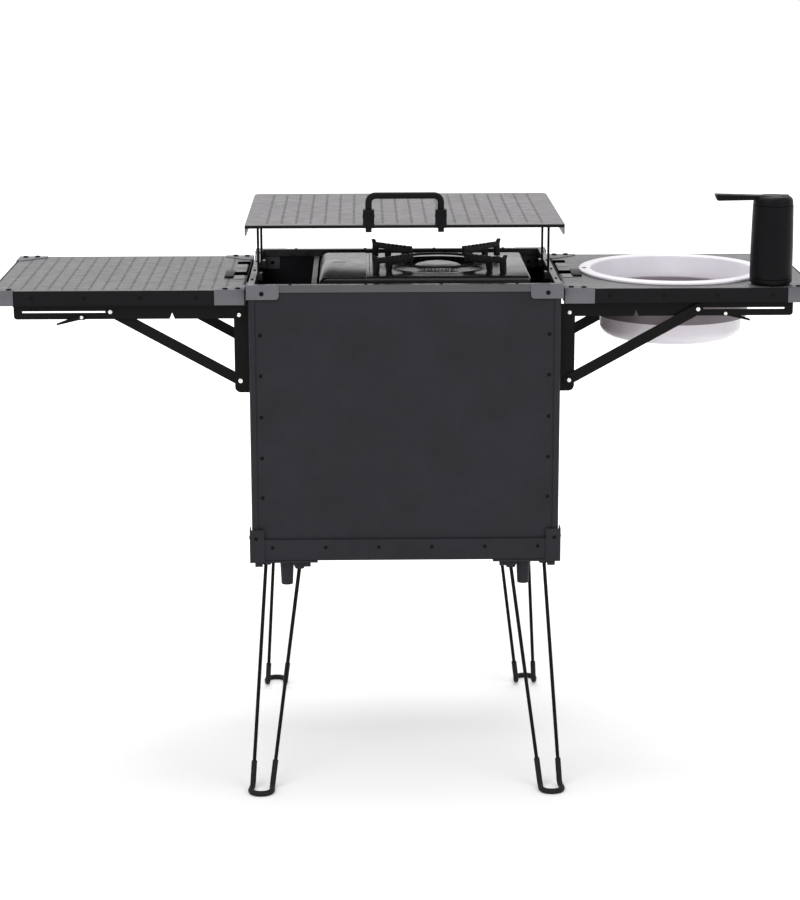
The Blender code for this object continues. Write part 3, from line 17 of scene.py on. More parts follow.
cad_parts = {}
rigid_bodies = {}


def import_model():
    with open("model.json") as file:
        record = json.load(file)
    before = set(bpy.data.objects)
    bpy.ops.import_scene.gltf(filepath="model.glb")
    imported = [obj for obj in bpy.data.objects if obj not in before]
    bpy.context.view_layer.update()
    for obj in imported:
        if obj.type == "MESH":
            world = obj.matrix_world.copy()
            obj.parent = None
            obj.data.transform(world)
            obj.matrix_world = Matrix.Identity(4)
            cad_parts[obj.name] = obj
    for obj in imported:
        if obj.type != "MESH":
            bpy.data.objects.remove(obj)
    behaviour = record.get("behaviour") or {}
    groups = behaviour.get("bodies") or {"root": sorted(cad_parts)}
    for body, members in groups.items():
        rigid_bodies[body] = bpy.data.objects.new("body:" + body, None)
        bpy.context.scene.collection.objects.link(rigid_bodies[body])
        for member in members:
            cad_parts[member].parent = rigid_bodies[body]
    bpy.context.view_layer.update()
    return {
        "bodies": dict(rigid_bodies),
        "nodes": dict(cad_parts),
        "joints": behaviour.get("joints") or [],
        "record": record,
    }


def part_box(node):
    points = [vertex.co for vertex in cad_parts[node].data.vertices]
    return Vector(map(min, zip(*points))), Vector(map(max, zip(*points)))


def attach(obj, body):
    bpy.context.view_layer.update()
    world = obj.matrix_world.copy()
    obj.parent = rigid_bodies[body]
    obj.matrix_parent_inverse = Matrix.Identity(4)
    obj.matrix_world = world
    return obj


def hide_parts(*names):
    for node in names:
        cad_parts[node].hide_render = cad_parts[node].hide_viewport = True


LOG = logging.getLogger("camp_kitchen")

Point = tuple[float, float, float]
Colour = tuple[float, float, float]
Profile = list[tuple[float, float]]
Size = tuple[float, float]

FRONT_AND_REAR = (("front", -1), ("rear", 1))
LEFT_AND_RIGHT = (("left", -1), ("right", 1))
MERGE = 1e-7


class Facing(Enum):
    """Direction that a fastener's head faces."""

    FRONT = (0.0, -1.0, 0.0)
    REAR = (0.0, 1.0, 0.0)
    LEFT = (-1.0, 0.0, 0.0)
    RIGHT = (1.0, 0.0, 0.0)
    UP = (0.0, 0.0, 1.0)

    def turn(self) -> Matrix:
        """Rotation that takes +Z to this direction."""
        return Vector((0, 0, 1)).rotation_difference(Vector(self.value)).to_matrix().to_4x4()


class NodeSheet:
    """A material's node tree, with short calls for the nodes that a finish uses."""

    def __init__(self, name: str) -> None:
        """Starts an empty material.

        Args:
            name: The material's name.
        """
        self.material = bpy.data.materials.new(name)
        self.material.use_nodes = True
        self.tree = self.material.node_tree
        self.shader = self.tree.nodes["Principled BSDF"]
        self.place = self.tree.nodes.new("ShaderNodeTexCoord").outputs["Object"]

    def feed(self, socket: bpy.types.NodeSocket, value: object) -> None:
        """Links a socket, or sets its value."""
        if isinstance(value, bpy.types.NodeSocket):
            self.tree.links.new(value, socket)
        else:
            socket.default_value = value

    def math(self, operation: str, *values: object) -> bpy.types.NodeSocket:
        """One arithmetic step.

        Args:
            operation: The Math node's operation.
            values: Its inputs, sockets or numbers.

        Returns:
            The result's socket.
        """
        node = self.tree.nodes.new("ShaderNodeMath")
        node.operation = operation
        for socket, value in zip(node.inputs, values):
            self.feed(socket, value)
        return node.outputs["Value"]

    def axes(self) -> tuple[bpy.types.NodeSocket, bpy.types.NodeSocket, bpy.types.NodeSocket]:
        """The object's X, Y and Z as sockets."""
        node = self.tree.nodes.new("ShaderNodeSeparateXYZ")
        self.tree.links.new(self.place, node.inputs[0])
        return node.outputs[0], node.outputs[1], node.outputs[2]

    def noise(self, scale: float, detail: float = 2.0, stretch: Point = (1, 1, 1)) -> bpy.types.NodeSocket:
        """Noise over the object's own space.

        Args:
            scale: Features a metre.
            detail: Octaves.
            stretch: Scale of each axis, for streaks.

        Returns:
            The noise's value.
        """
        node = self.tree.nodes.new("ShaderNodeTexNoise")
        node.inputs["Scale"].default_value = scale
        node.inputs["Detail"].default_value = detail
        mapping = self.tree.nodes.new("ShaderNodeMapping")
        mapping.inputs["Scale"].default_value = stretch
        self.tree.links.new(self.place, mapping.inputs["Vector"])
        self.tree.links.new(mapping.outputs["Vector"], node.inputs["Vector"])
        return node.outputs["Fac"]

    def span(
        self, value: object, source: tuple[float, float], target: tuple[float, float]
    ) -> bpy.types.NodeSocket:
        """Takes a value from one clamped range to another.

        Args:
            value: The value's socket.
            source: The range that the value has.
            target: The range that it gets.

        Returns:
            The result's socket.
        """
        node = self.tree.nodes.new("ShaderNodeMapRange")
        self.feed(node.inputs["Value"], value)
        node.inputs["From Min"].default_value, node.inputs["From Max"].default_value = source
        node.inputs["To Min"].default_value, node.inputs["To Max"].default_value = target
        return node.outputs["Result"]

    def blend(self, share: object, first: object, second: object) -> bpy.types.NodeSocket:
        """Mixes two colours.

        Args:
            share: How much of the second colour.
            first: The first colour or its socket.
            second: The second colour or its socket.

        Returns:
            The mixed colour.
        """
        node = self.tree.nodes.new("ShaderNodeMix")
        node.data_type = "RGBA"
        factor, first_socket, second_socket = node.inputs[0], node.inputs[6], node.inputs[7]
        self.feed(factor, share)
        self.feed(first_socket, first if isinstance(first, bpy.types.NodeSocket) else (*first, 1))
        self.feed(second_socket, second if isinstance(second, bpy.types.NodeSocket) else (*second, 1))
        return node.outputs[2]

    def bump(self, height: bpy.types.NodeSocket, strength: float, depth: float) -> None:
        """Raises the surface by a height.

        Args:
            height: Height from 0 to 1.
            strength: Strength of the effect.
            depth: Height in metres of a value of 1.
        """
        node = self.tree.nodes.new("ShaderNodeBump")
        node.inputs["Strength"].default_value = strength
        node.inputs["Distance"].default_value = depth
        self.tree.links.new(height, node.inputs["Height"])
        self.tree.links.new(node.outputs["Normal"], self.shader.inputs["Normal"])


@dataclass(frozen=True)
class Finish:
    """A surface finish of one colour with fine grain and soft unevenness."""

    name: str
    slot: str
    colour: Colour
    roughness: float
    metallic: float = 0.0
    grain: float = 900.0
    relief: float = 0.00025
    unevenness: float = 0.10
    gloss_spread: float = 0.06
    sheen: float = 0.5

    def material(self) -> bpy.types.Material:
        """The finish's material, made at its first use."""
        made = bpy.data.materials.get(self.name)
        if made is None:
            sheet = NodeSheet(self.name)
            sheet.shader.inputs["Metallic"].default_value = self.metallic
            sheet.shader.inputs["Specular IOR Level"].default_value = self.sheen
            self.paint(sheet)
            made = sheet.material
        return made

    def shade(self, factor: float) -> Colour:
        """The finish's colour times a factor."""
        red, green, blue = self.colour
        return (red * factor, green * factor, blue * factor)

    def coat(self, sheet: NodeSheet) -> bpy.types.NodeSocket:
        """Uneven colour of the coat.

        Args:
            sheet: The node tree.

        Returns:
            The colour's socket.
        """
        patches = sheet.span(sheet.noise(14, 4), (0.35, 0.65), (0, 1))
        return sheet.blend(patches, self.shade(1 - self.unevenness), self.shade(1 + self.unevenness))

    def paint(self, sheet: NodeSheet) -> None:
        """Lays the finish's nodes.

        Args:
            sheet: The node tree.
        """
        grain = sheet.noise(self.grain, 2)
        sheet.feed(sheet.shader.inputs["Base Color"], self.coat(sheet))
        low = max(self.roughness - self.gloss_spread, 0.02)
        high = self.roughness + self.gloss_spread
        sheet.feed(sheet.shader.inputs["Roughness"], sheet.span(sheet.noise(60, 3), (0.3, 0.7), (low, high)))
        sheet.bump(grain, 0.35, self.relief)


@dataclass(frozen=True)
class SlattedCoat(Finish):
    """A coat with rows of dashed grooves that run from the front to the back, the grooves darkened with painted
    shade.
    """

    first_line: float = 0.0
    pitch: float = 0.0229
    lines: int = 20
    line_width: float = 0.0032
    dash: float = 0.047
    dash_share: float = 0.8
    dash_gap: float = 0.5
    reach: float = 0.178
    groove_painted_shade: float = 0.2
    top_z: float = 0.0

    def paint(self, sheet: NodeSheet) -> None:
        """Lays the coat and its grooves, darkening the grooves with painted shade.

        Args:
            sheet: The node tree.
        """
        across, along, height = sheet.axes()
        steps = sheet.math("DIVIDE", sheet.math("SUBTRACT", across, self.first_line), self.pitch)
        line = sheet.math("ROUND", steps)
        share_off = sheet.math("ABSOLUTE", sheet.math("SUBTRACT", steps, line))
        off_line = sheet.math("MULTIPLY", share_off, self.pitch)
        half = self.line_width / 2
        on_line = sheet.span(off_line, (half, half * 1.5), (1, 0))
        after_first = sheet.math("GREATER_THAN", line, -0.5)
        before_last = sheet.math("LESS_THAN", line, self.lines - 0.5)
        stagger = sheet.math("MULTIPLY", line, 0.37)
        dashes = sheet.math("FRACT", sheet.math("ADD", sheet.math("DIVIDE", along, self.dash), stagger))
        on_dash = sheet.span(dashes, (self.dash_share, self.dash_share + 0.04), (1, self.dash_gap))
        inside = sheet.math("LESS_THAN", sheet.math("ABSOLUTE", along), self.reach)
        on_top = sheet.math("GREATER_THAN", height, self.top_z - 0.001)
        mask = on_line
        for limit in (after_first, before_last, on_dash, inside, on_top):
            mask = sheet.math("MULTIPLY", mask, limit)
        # Painted shade: the grooves take a darker copy of the coat's colour.
        colour = sheet.blend(mask, self.coat(sheet), self.shade(self.groove_painted_shade))
        sheet.feed(sheet.shader.inputs["Base Color"], colour)
        low = self.roughness - self.gloss_spread
        high = self.roughness + self.gloss_spread
        sheet.feed(sheet.shader.inputs["Roughness"], sheet.span(sheet.noise(60, 3), (0.3, 0.7), (low, high)))
        grain = sheet.math("MULTIPLY", sheet.noise(self.grain, 2), 0.25)
        sheet.bump(sheet.math("SUBTRACT", grain, mask), 0.6, 0.0006)


@dataclass(frozen=True)
class BrushedSteel(Finish):
    """Bare metal with fine streaks along one axis."""

    stretch: Point = (1, 1, 60)

    def paint(self, sheet: NodeSheet) -> None:
        """Lays the streaks.

        Args:
            sheet: The node tree.
        """
        streaks = sheet.noise(40, 6, self.stretch)
        dull = self.shade(1 - self.unevenness)
        colour = sheet.blend(sheet.span(streaks, (0.3, 0.7), (0, 1)), dull, self.shade(1 + self.unevenness))
        sheet.feed(sheet.shader.inputs["Base Color"], colour)
        low = self.roughness - self.gloss_spread
        high = self.roughness + self.gloss_spread
        sheet.feed(sheet.shader.inputs["Roughness"], sheet.span(streaks, (0.3, 0.7), (low, high)))
        sheet.bump(streaks, 0.15, self.relief)


@dataclass(frozen=True)
class MilkyPlastic(Finish):
    """Translucent white plastic, lit through its wall."""

    glow: float = 0.35

    def paint(self, sheet: NodeSheet) -> None:
        """Lays the milky body.

        Args:
            sheet: The node tree.
        """
        super().paint(sheet)
        sheet.shader.inputs["Subsurface Weight"].default_value = self.glow
        sheet.shader.inputs["Subsurface Radius"].default_value = (0.9, 0.75, 0.75)
        sheet.shader.inputs["Subsurface Scale"].default_value = 0.01
        sheet.shader.inputs["Coat Weight"].default_value = 0.25
        sheet.shader.inputs["Coat Roughness"].default_value = 0.2


CHARCOAL = Finish("charcoal textured paint", "charcoal_paint", (0.0158, 0.0152, 0.0192), 0.55, sheen=0.16)
RIM_PAINT = Finish("satin rim paint", "charcoal_paint", (0.022, 0.021, 0.025), 0.3, relief=0.0001, sheen=0.8)
GREY_COAT = Finish("satin grey coat", "grey_coat", (0.090, 0.087, 0.101), 0.4, 0.1, sheen=0.6)
BLACK_STEEL = Finish(
    "black coated steel", "black_steel", (0.0038, 0.0038, 0.0037), 0.45, grain=500, sheen=0.08
)
FRAME_PAINT = Finish("black wing frame paint", "charcoal_paint", (0.0045, 0.0045, 0.0055), 0.5, sheen=0.1)
BLACK_PLASTIC = Finish(
    "matt black plastic",
    "black_plastic",
    (0.0045, 0.0045, 0.0055),
    0.4,
    grain=1500,
    relief=0.00012,
    sheen=0.07,
)
# Painted shade: near-black flat strips that stand for the shade inside the wing latch's slot openings and its
# edge gap.
SLOT_SHADE_PAINT = Finish("painted slot shade", "black_plastic", (0.0012, 0.0012, 0.0012), 0.95, relief=0.0001, sheen=0.0)
BLACK_RUBBER = Finish("black rubber sleeve", "black_steel", (0.006, 0.006, 0.006), 0.7, grain=700, sheen=0.25)
ENAMEL = Finish(
    "glossy black enamel",
    "black_enamel",
    (0.012, 0.012, 0.012),
    0.22,
    grain=160,
    relief=0.00005,
    gloss_spread=0.04,
)
CAST_BLACK = Finish(
    "rough black enamel", "black_enamel", (0.006, 0.006, 0.006), 0.5, grain=400, relief=0.0004, sheen=0.3
)
SILVER = BrushedSteel("burner alloy", "bare_steel", (0.86, 0.86, 0.84), 0.4, 0.55)
RIVET_STEEL = BrushedSteel("zinc rivet", "bare_steel", (0.66, 0.65, 0.62), 0.32, 0.85)
CARTRIDGE = BrushedSteel("cartridge tinplate", "bare_steel", (0.5, 0.5, 0.52), 0.28, 0.9, stretch=(60, 1, 60))
MILKY = MilkyPlastic(
    "milky white plastic",
    "white_plastic",
    (0.78, 0.75, 0.80),
    0.34,
    grain=300,
    relief=0.00008,
    unevenness=0.04,
)
# The basin's middle ring is drawn much darker than the milky rings.
DARK_RING_TONE = MilkyPlastic(
    "dark soft ring tone", "white_plastic", (0.17, 0.145, 0.165), 0.5, grain=300, relief=0.00008, glow=0.15
)
LID_TOP = SlattedCoat(
    "slatted lid sheet",
    "slatted_sheet",
    (0.128, 0.119, 0.127),
    0.42,
    0.25,
    first_line=-0.2176,
    lines=20,
    top_z=0.9195,
)
WING_TOP = SlattedCoat(
    "slatted wing sheet",
    "slatted_sheet",
    (0.116, 0.112, 0.118),
    0.42,
    0.25,
    first_line=-0.633,
    pitch=0.02173,
    lines=17,
    reach=0.168,
    top_z=0.8135,
)
# Painted light: a lighter copy of the grey coat for the latch plates' lit tops.
LIT_PLATE_PAINT = Finish("latch plate painted light", "grey_coat", (0.15, 0.145, 0.155), 0.38, 0.25)
PLAIN_TOP = Finish("plain wing sheet", "slatted_sheet", (0.116, 0.112, 0.118), 0.42, 0.25)


def fillet(corners: Sequence[Sequence[float]], radii: Sequence[float], steps: int = 6) -> list[Vector]:
    """Rounds the corners of an open path.

    Args:
        corners: The path's corners.
        radii: The radius of each corner, 0 where it stays sharp.
        steps: Points of each arc.

    Returns:
        The rounded path's points, in three dimensions.
    """
    points = []
    for i, corner in enumerate(corners):
        here = Vector((*corner, 0)[:3])
        if radii[i] == 0 or i in (0, len(corners) - 1):
            points.append(here)
            continue
        back = (Vector((*corners[i - 1], 0)[:3]) - here).normalized()
        ahead = (Vector((*corners[i + 1], 0)[:3]) - here).normalized()
        half = back.angle(ahead) / 2
        centre = here + (back + ahead).normalized() * (radii[i] / math.sin(half))
        start = here + back * (radii[i] / math.tan(half)) - centre
        end = here + ahead * (radii[i] / math.tan(half)) - centre
        turn = start.angle(end)
        for step in range(steps + 1):
            share = step / steps
            arc = start * math.sin((1 - share) * turn) + end * math.sin(share * turn)
            points.append(centre + arc / math.sin(turn))
    return points


def rounded(corners: Sequence[tuple[float, float, float]], steps: int = 6) -> Profile:
    """Rounds a profile given as (a, b, radius) corners.

    Args:
        corners: The corners and their radii.
        steps: Points of each arc.

    Returns:
        The profile's points.
    """
    path = fillet([corner[:2] for corner in corners], [corner[2] for corner in corners], steps)
    return [(point.x, point.y) for point in path]


class Shape:
    """A mesh under construction, in metres and in its place."""

    def __init__(self) -> None:
        """Starts an empty mesh."""
        self.mesh = bmesh.new()

    def block(self, start: Sequence[float], end: Sequence[float], edge: float, segments: int = 2) -> None:
        """Adds a block with rounded edges.

        Args:
            start: One of its corners.
            end: The opposite corner.
            edge: The radius of its edges.
            segments: Facets of each rounded edge.
        """
        verts = bmesh.ops.create_cube(self.mesh, size=1.0)["verts"]
        first = Vector([min(pair) for pair in zip(start, end)])
        last = Vector([max(pair) for pair in zip(start, end)])
        bmesh.ops.scale(self.mesh, vec=last - first, verts=verts)
        bmesh.ops.translate(self.mesh, vec=(first + last) / 2, verts=verts)
        edges = list({edge_used for vert in verts for edge_used in vert.link_edges})
        bmesh.ops.bevel(
            self.mesh,
            geom=edges,
            offset=edge,
            segments=segments,
            profile=0.5,
            affect="EDGES",
            material=-1,
            clamp_overlap=True,
        )

    def turned(
        self,
        profile: Profile,
        centre: Sequence[float],
        turn: Matrix | None = None,
        segments: int = 64,
        closed: bool = False,
    ) -> None:
        """Adds a profile turned round an axis.

        Args:
            profile: (radius, height) points; an open profile starts and ends on the axis.
            centre: The place of the profile's origin.
            turn: Rotation from +Z to the axis.
            segments: Steps round the axis.
            closed: Joins the profile's last point to its first.
        """
        before = set(self.mesh.verts)
        verts = [self.mesh.verts.new((radius, 0, height)) for radius, height in profile]
        edges = [self.mesh.edges.new(pair) for pair in zip(verts, verts[1:])]
        if closed:
            edges.append(self.mesh.edges.new((verts[-1], verts[0])))
        bmesh.ops.spin(
            self.mesh,
            geom=verts + edges,
            cent=(0, 0, 0),
            axis=(0, 0, 1),
            angle=2 * math.pi,
            steps=segments,
            use_merge=True,
            use_duplicate=False,
        )
        made = [vert for vert in self.mesh.verts if vert not in before]
        bmesh.ops.remove_doubles(self.mesh, verts=made, dist=MERGE)
        made = [vert for vert in self.mesh.verts if vert not in before]
        loose = list({item for vert in made for item in vert.link_edges if not item.link_faces})
        bmesh.ops.delete(self.mesh, geom=loose, context="EDGES")
        made = [vert for vert in self.mesh.verts if vert not in before]
        matrix = Matrix.Translation(Vector(centre)) @ (turn or Matrix.Identity(4))
        bmesh.ops.transform(self.mesh, matrix=matrix, verts=made)

    def prism(self, axis: str, outline: Profile, start: float, end: float, edge: float = 0.0) -> None:
        """Adds an outline pulled along an axis.

        Args:
            axis: The axis, "X", "Y" or "Z".
            outline: Its points in the other two axes, in their order.
            start: Where it starts along the axis.
            end: Where it ends.
            edge: The radius of the rims of its two ends.
        """
        spots = {
            "X": lambda a, b: (start, a, b),
            "Y": lambda a, b: (a, start, b),
            "Z": lambda a, b: (a, b, start),
        }
        ways = {"X": (end - start, 0, 0), "Y": (0, end - start, 0), "Z": (0, 0, end - start)}
        face = self.mesh.faces.new([self.mesh.verts.new(spots[axis](a, b)) for a, b in outline])
        grown = bmesh.ops.extrude_face_region(self.mesh, geom=[face], use_keep_orig=True)["geom"]
        moved = [item for item in grown if isinstance(item, bmesh.types.BMVert)]
        far = [item for item in grown if isinstance(item, bmesh.types.BMFace)]
        bmesh.ops.translate(self.mesh, verts=moved, vec=ways[axis])
        if edge:
            rims = list({item for cap in (face, *far) for item in cap.edges})
            bmesh.ops.bevel(
                self.mesh,
                geom=rims,
                offset=edge,
                segments=2,
                profile=0.5,
                affect="EDGES",
                material=-1,
                clamp_overlap=True,
            )

    def bar(self, points: Sequence[Vector], radius: float, shares: Sequence[float] | None = None) -> None:
        """Adds a round bar along a path.

        Args:
            points: The path.
            radius: The bar's radius.
            shares: The radius at each point as a share of it.
        """
        curve = bpy.data.curves.new("bar_guide", "CURVE")
        curve.dimensions = "3D"
        curve.bevel_depth = radius
        curve.bevel_resolution = 6
        curve.use_fill_caps = True
        spline = curve.splines.new("POLY")
        spline.points.add(len(points) - 1)
        for i, point in enumerate(points):
            spline.points[i].co = (*point, 1)
            spline.points[i].radius = 1 if shares is None else shares[i]
        guide = bpy.data.objects.new("bar_guide", curve)
        mesh = bpy.data.meshes.new_from_object(guide)
        self.mesh.from_mesh(mesh)
        bpy.data.objects.remove(guide, do_unlink=True)
        bpy.data.curves.remove(curve)
        bpy.data.meshes.remove(mesh)
        bmesh.ops.remove_doubles(self.mesh, verts=self.mesh.verts[:], dist=MERGE)

    def rivet(
        self, at: Sequence[float], facing: Facing, radius: float = 0.0032, rise: float = 0.0013
    ) -> None:
        """Adds a blind rivet's ring-shaped head.

        Args:
            at: The place on the surface.
            facing: The way that the head faces.
            radius: The head's radius.
            rise: The head's height.
        """
        profile = [
            (0, rise * 0.25),
            (radius * 0.34, rise * 0.25),
            (radius * 0.42, rise * 0.95),
            (radius * 0.72, rise),
            (radius * 0.94, rise * 0.5),
            (radius, -rise * 0.4),
        ]
        self.turned(profile, at, facing.turn(), 14)

    def dome(self, at: Sequence[float], facing: Facing, radius: float, rise: float) -> None:
        """Adds a solid rivet's domed head.

        Args:
            at: The place on the surface.
            facing: The way that the head faces.
            radius: The head's radius.
            rise: The head's height.
        """
        steps = 5
        profile = [(0, rise)]
        for step in range(1, steps + 1):
            angle = math.pi / 2 * step / steps
            profile.append((radius * math.sin(angle), rise * math.cos(angle)))
        profile.append((radius, -rise * 0.3))
        self.turned(profile, at, facing.turn(), 20)

    def screw(self, at: Sequence[float], facing: Facing, radius: float, rise: float) -> None:
        """Adds a round screw head with a hexagonal socket.

        Args:
            at: The place on the surface.
            facing: The way that the head faces.
            radius: The head's radius.
            rise: The head's height.
        """
        profile = [
            (radius * 0.46, rise * 0.2),
            (radius * 0.5, rise),
            (radius * 0.8, rise),
            (radius, rise * 0.6),
            (radius, -rise * 0.4),
        ]
        self.turned(profile, at, facing.turn(), 18)
        self.turned([(0, rise * 0.2), (radius * 0.52, rise * 0.2), (0, 0)], at, facing.turn(), 6)

    def cut(self, tool: "Shape") -> None:
        """Takes another shape away from this one.

        Args:
            tool: The shape to take away, used up by this.
        """
        bodies = []
        for i, shape in enumerate((self, tool)):
            bmesh.ops.recalc_face_normals(shape.mesh, faces=shape.mesh.faces[:])
            data = bpy.data.meshes.new(f"cut_{i}")
            shape.mesh.to_mesh(data)
            body = bpy.data.objects.new(f"cut_{i}", data)
            bpy.context.scene.collection.objects.link(body)
            bodies.append(body)
        main_body, tool_body = bodies
        modifier = main_body.modifiers.new("cut", "BOOLEAN")
        modifier.operation = "DIFFERENCE"
        modifier.object = tool_body
        modifier.solver = "EXACT"
        bpy.context.view_layer.update()
        graph = bpy.context.evaluated_depsgraph_get()
        result = bpy.data.meshes.new_from_object(main_body.evaluated_get(graph))
        self.mesh.free()
        tool.mesh.free()
        self.mesh = bmesh.new()
        self.mesh.from_mesh(result)
        for body in bodies:
            data = body.data
            bpy.data.objects.remove(body, do_unlink=True)
            bpy.data.meshes.remove(data)
        bpy.data.meshes.remove(result)

    def finish(
        self, name: str, finish: Finish, body: str, replaces: Iterable[str] = (), angle: float = 35.0
    ) -> bpy.types.Object:
        """Makes the shape a piece of the scene.

        Args:
            name: The piece's name.
            finish: Its finish.
            body: The body that it moves with.
            replaces: The solids that it stands for.
            angle: Edges sharper than this many degrees stay sharp.

        Returns:
            The piece.
        """
        bmesh.ops.recalc_face_normals(self.mesh, faces=self.mesh.faces[:])
        data = bpy.data.meshes.new(name)
        self.mesh.to_mesh(data)
        self.mesh.free()
        piece = bpy.data.objects.new(name, data)
        bpy.context.scene.collection.objects.link(piece)
        data.materials.append(finish.material())
        data.shade_smooth()
        data.set_sharp_from_angle(angle=math.radians(angle))
        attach(piece, body)
        if replaces:
            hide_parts(*replaces)
        LOG.info("%s: %d faces on %s", name, len(data.polygons), body)
        return piece


def dress(frame: dict, finish: Finish, *nodes: str) -> None:
    """Gives solids of the frame their finish.

    Args:
        frame: The loaded frame.
        finish: The finish.
        nodes: The solids' names.
    """
    for node in nodes:
        piece = frame["nodes"][node]
        for slot in piece.material_slots:
            slot.material = finish.material()
        LOG.info("%s: %s", node, finish.name)


@dataclass
class BoxBody:
    """The box: panels, posts, rim, pan, guards and brackets, with their rivets and screws."""

    rivet_inset: float = 0.0185
    rivet_z: tuple[float, ...] = (0.4095, 0.4755, 0.5415, 0.609, 0.6768, 0.7428)
    side_rivet_rows: int = 4
    pan_rivet_z: float = 0.393
    pan_rivet_count: int = 6
    pan_rivet_pitch: float = 0.0862
    side_rivet_y: tuple[float, ...] = (-0.120, -0.040, 0.040, 0.120)
    rim_rivet_x: tuple[float, ...] = (-0.182, -0.062, 0.058, 0.178)
    rim_rivet_y: tuple[float, ...] = (-0.135, -0.042, 0.051, 0.144)
    rim_rivet_inset: float = 0.0048
    rim_rivet_head: Size = (0.0026, 0.0012)
    post_radius: float = 0.006
    post_lip: float = 0.0018
    post_seat: float = 0.0054
    post_groove: float = 0.006
    guard_screw_drop: float = 0.0135
    guard_screw_inset: float = 0.0245
    guard_screw_head: Size = (0.0036, 0.0014)
    bracket_screw_inset: float = 0.0105
    bracket_screw_drop: float = 0.0145
    bracket_screw_head: Size = (0.0030, 0.0012)
    divider_x: float = -0.1415
    hem_width: float = 0.0085
    hem_inset: float = 0.002
    hem_t: float = 0.0015
    hem_rise: float = 0.0003
    inner_plate_width: float = 0.033
    inner_plate_height: float = 0.022
    inner_plate_t: float = 0.0012
    inner_plate_drop: float = 0.0125
    inner_plate_gap: float = 0.0004
    inner_screw_share: float = 0.62
    inner_screw_head: Size = (0.003, 0.001)

    def build(self, frame: dict) -> None:
        """Dresses the solids and adds the fasteners.

        Args:
            frame: The loaded frame.
        """
        corners = [f"{end}_{side}" for end, _ in FRONT_AND_REAR for side, _ in LEFT_AND_RIGHT]
        dress(frame, CHARCOAL, "front_panel", "rear_panel", "left_panel", "right_panel", "bottom_pan")
        dress(frame, RIM_PAINT, "top_rim")
        dress(frame, GREY_COAT, "stove_tray", *(f"top_guard_{corner}" for corner in corners))
        dress(frame, CHARCOAL, *(f"base_bracket_{corner}" for corner in corners))
        self.build_posts()
        self.build_rivets()
        self.build_guard_screws()
        self.build_bracket_screws()
        self.build_inner_plates()
        self.build_divider_hem()

    def build_posts(self) -> None:
        """Corner posts with a rounded outer corner."""
        for end, sign_y in FRONT_AND_REAR:
            for side, sign_x in LEFT_AND_RIGHT:
                node = f"post_{end}_{side}"
                low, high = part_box(node)
                size = high.x - low.x
                outer_x = high.x if sign_x > 0 else low.x
                outer_y = high.y if sign_y > 0 else low.y
                lip, seat, groove = self.post_lip, self.post_seat, self.post_groove
                corners = [
                    (0, size, 0),
                    (0, 0, self.post_radius),
                    (size, 0, 0),
                    (size, lip, 0),
                    (groove, lip, 0),
                    (groove, seat, 0),
                    (size, seat, 0),
                    (size, size, 0),
                    (seat, size, 0),
                    (seat, groove, 0),
                    (lip, groove, 0),
                    (lip, size, 0),
                ]
                outline = [(outer_x - sign_x * a, outer_y - sign_y * b) for a, b in rounded(corners)]
                post = Shape()
                post.prism("Z", outline, low.z, high.z)
                post.finish(f"corner_{node}", CHARCOAL, "box", [node])

    def build_rivets(self) -> None:
        """Rivets of the panels, the pan's flanges and the rim."""
        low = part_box("front_panel")[0]
        rear_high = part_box("rear_panel")[1]
        side_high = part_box("right_panel")[1]
        pan_low, pan_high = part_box("bottom_pan")
        rim_low, rim_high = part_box("top_rim")
        panels = Shape()
        for sign_x in (-1, 1):
            x = sign_x * (rim_high.x - self.rivet_inset)
            for z in self.rivet_z:
                panels.rivet((x, low.y, z), Facing.FRONT)
                panels.rivet((x, rear_high.y, z), Facing.REAR)
        for sign_y in (-1, 1):
            y = sign_y * (rim_high.y - self.rivet_inset)
            for z in self.rivet_z[: self.side_rivet_rows]:
                panels.rivet((side_high.x, y, z), Facing.RIGHT)
                panels.rivet((-side_high.x, y, z), Facing.LEFT)
        panels.finish("panel_rivets", BLACK_STEEL, "box")
        pan = Shape()
        for step in range(self.pan_rivet_count):
            x = (step - (self.pan_rivet_count - 1) / 2) * self.pan_rivet_pitch
            pan.rivet((x, pan_low.y, self.pan_rivet_z), Facing.FRONT)
            pan.rivet((x, pan_high.y, self.pan_rivet_z), Facing.REAR)
        for y in self.side_rivet_y:
            pan.rivet((pan_low.x, y, self.pan_rivet_z), Facing.LEFT)
            pan.rivet((pan_high.x, y, self.pan_rivet_z), Facing.RIGHT)
        pan.finish("pan_rivets", BLACK_STEEL, "box")
        rim = Shape()
        inset, head = self.rim_rivet_inset, self.rim_rivet_head
        for x in self.rim_rivet_x:
            for y in (rim_low.y + inset, rim_high.y - inset):
                rim.rivet((x, y, rim_high.z), Facing.UP, *head)
        for y in self.rim_rivet_y:
            for x in (rim_low.x + inset, rim_high.x - inset):
                rim.rivet((x, y, rim_high.z), Facing.UP, *head)
        rim.finish("rim_rivets", BLACK_STEEL, "box")

    def build_guard_screws(self) -> None:
        """A screw in each face of the grey corner guards."""
        shape = Shape()
        for end, sign_y in FRONT_AND_REAR:
            for side, sign_x in LEFT_AND_RIGHT:
                low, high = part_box(f"top_guard_{end}_{side}")
                z = high.z - self.guard_screw_drop
                face = low.y if sign_y < 0 else high.y
                facing = Facing.FRONT if sign_y < 0 else Facing.REAR
                x = high.x - self.guard_screw_inset if sign_x > 0 else low.x + self.guard_screw_inset
                shape.screw((x, face, z), facing, *self.guard_screw_head)
                side_face = high.x if sign_x > 0 else low.x
                side_facing = Facing.RIGHT if sign_x > 0 else Facing.LEFT
                y = (low.y + high.y) / 2
                shape.screw((side_face, y, z), side_facing, *self.guard_screw_head)
        shape.finish("guard_screws", BLACK_STEEL, "box")

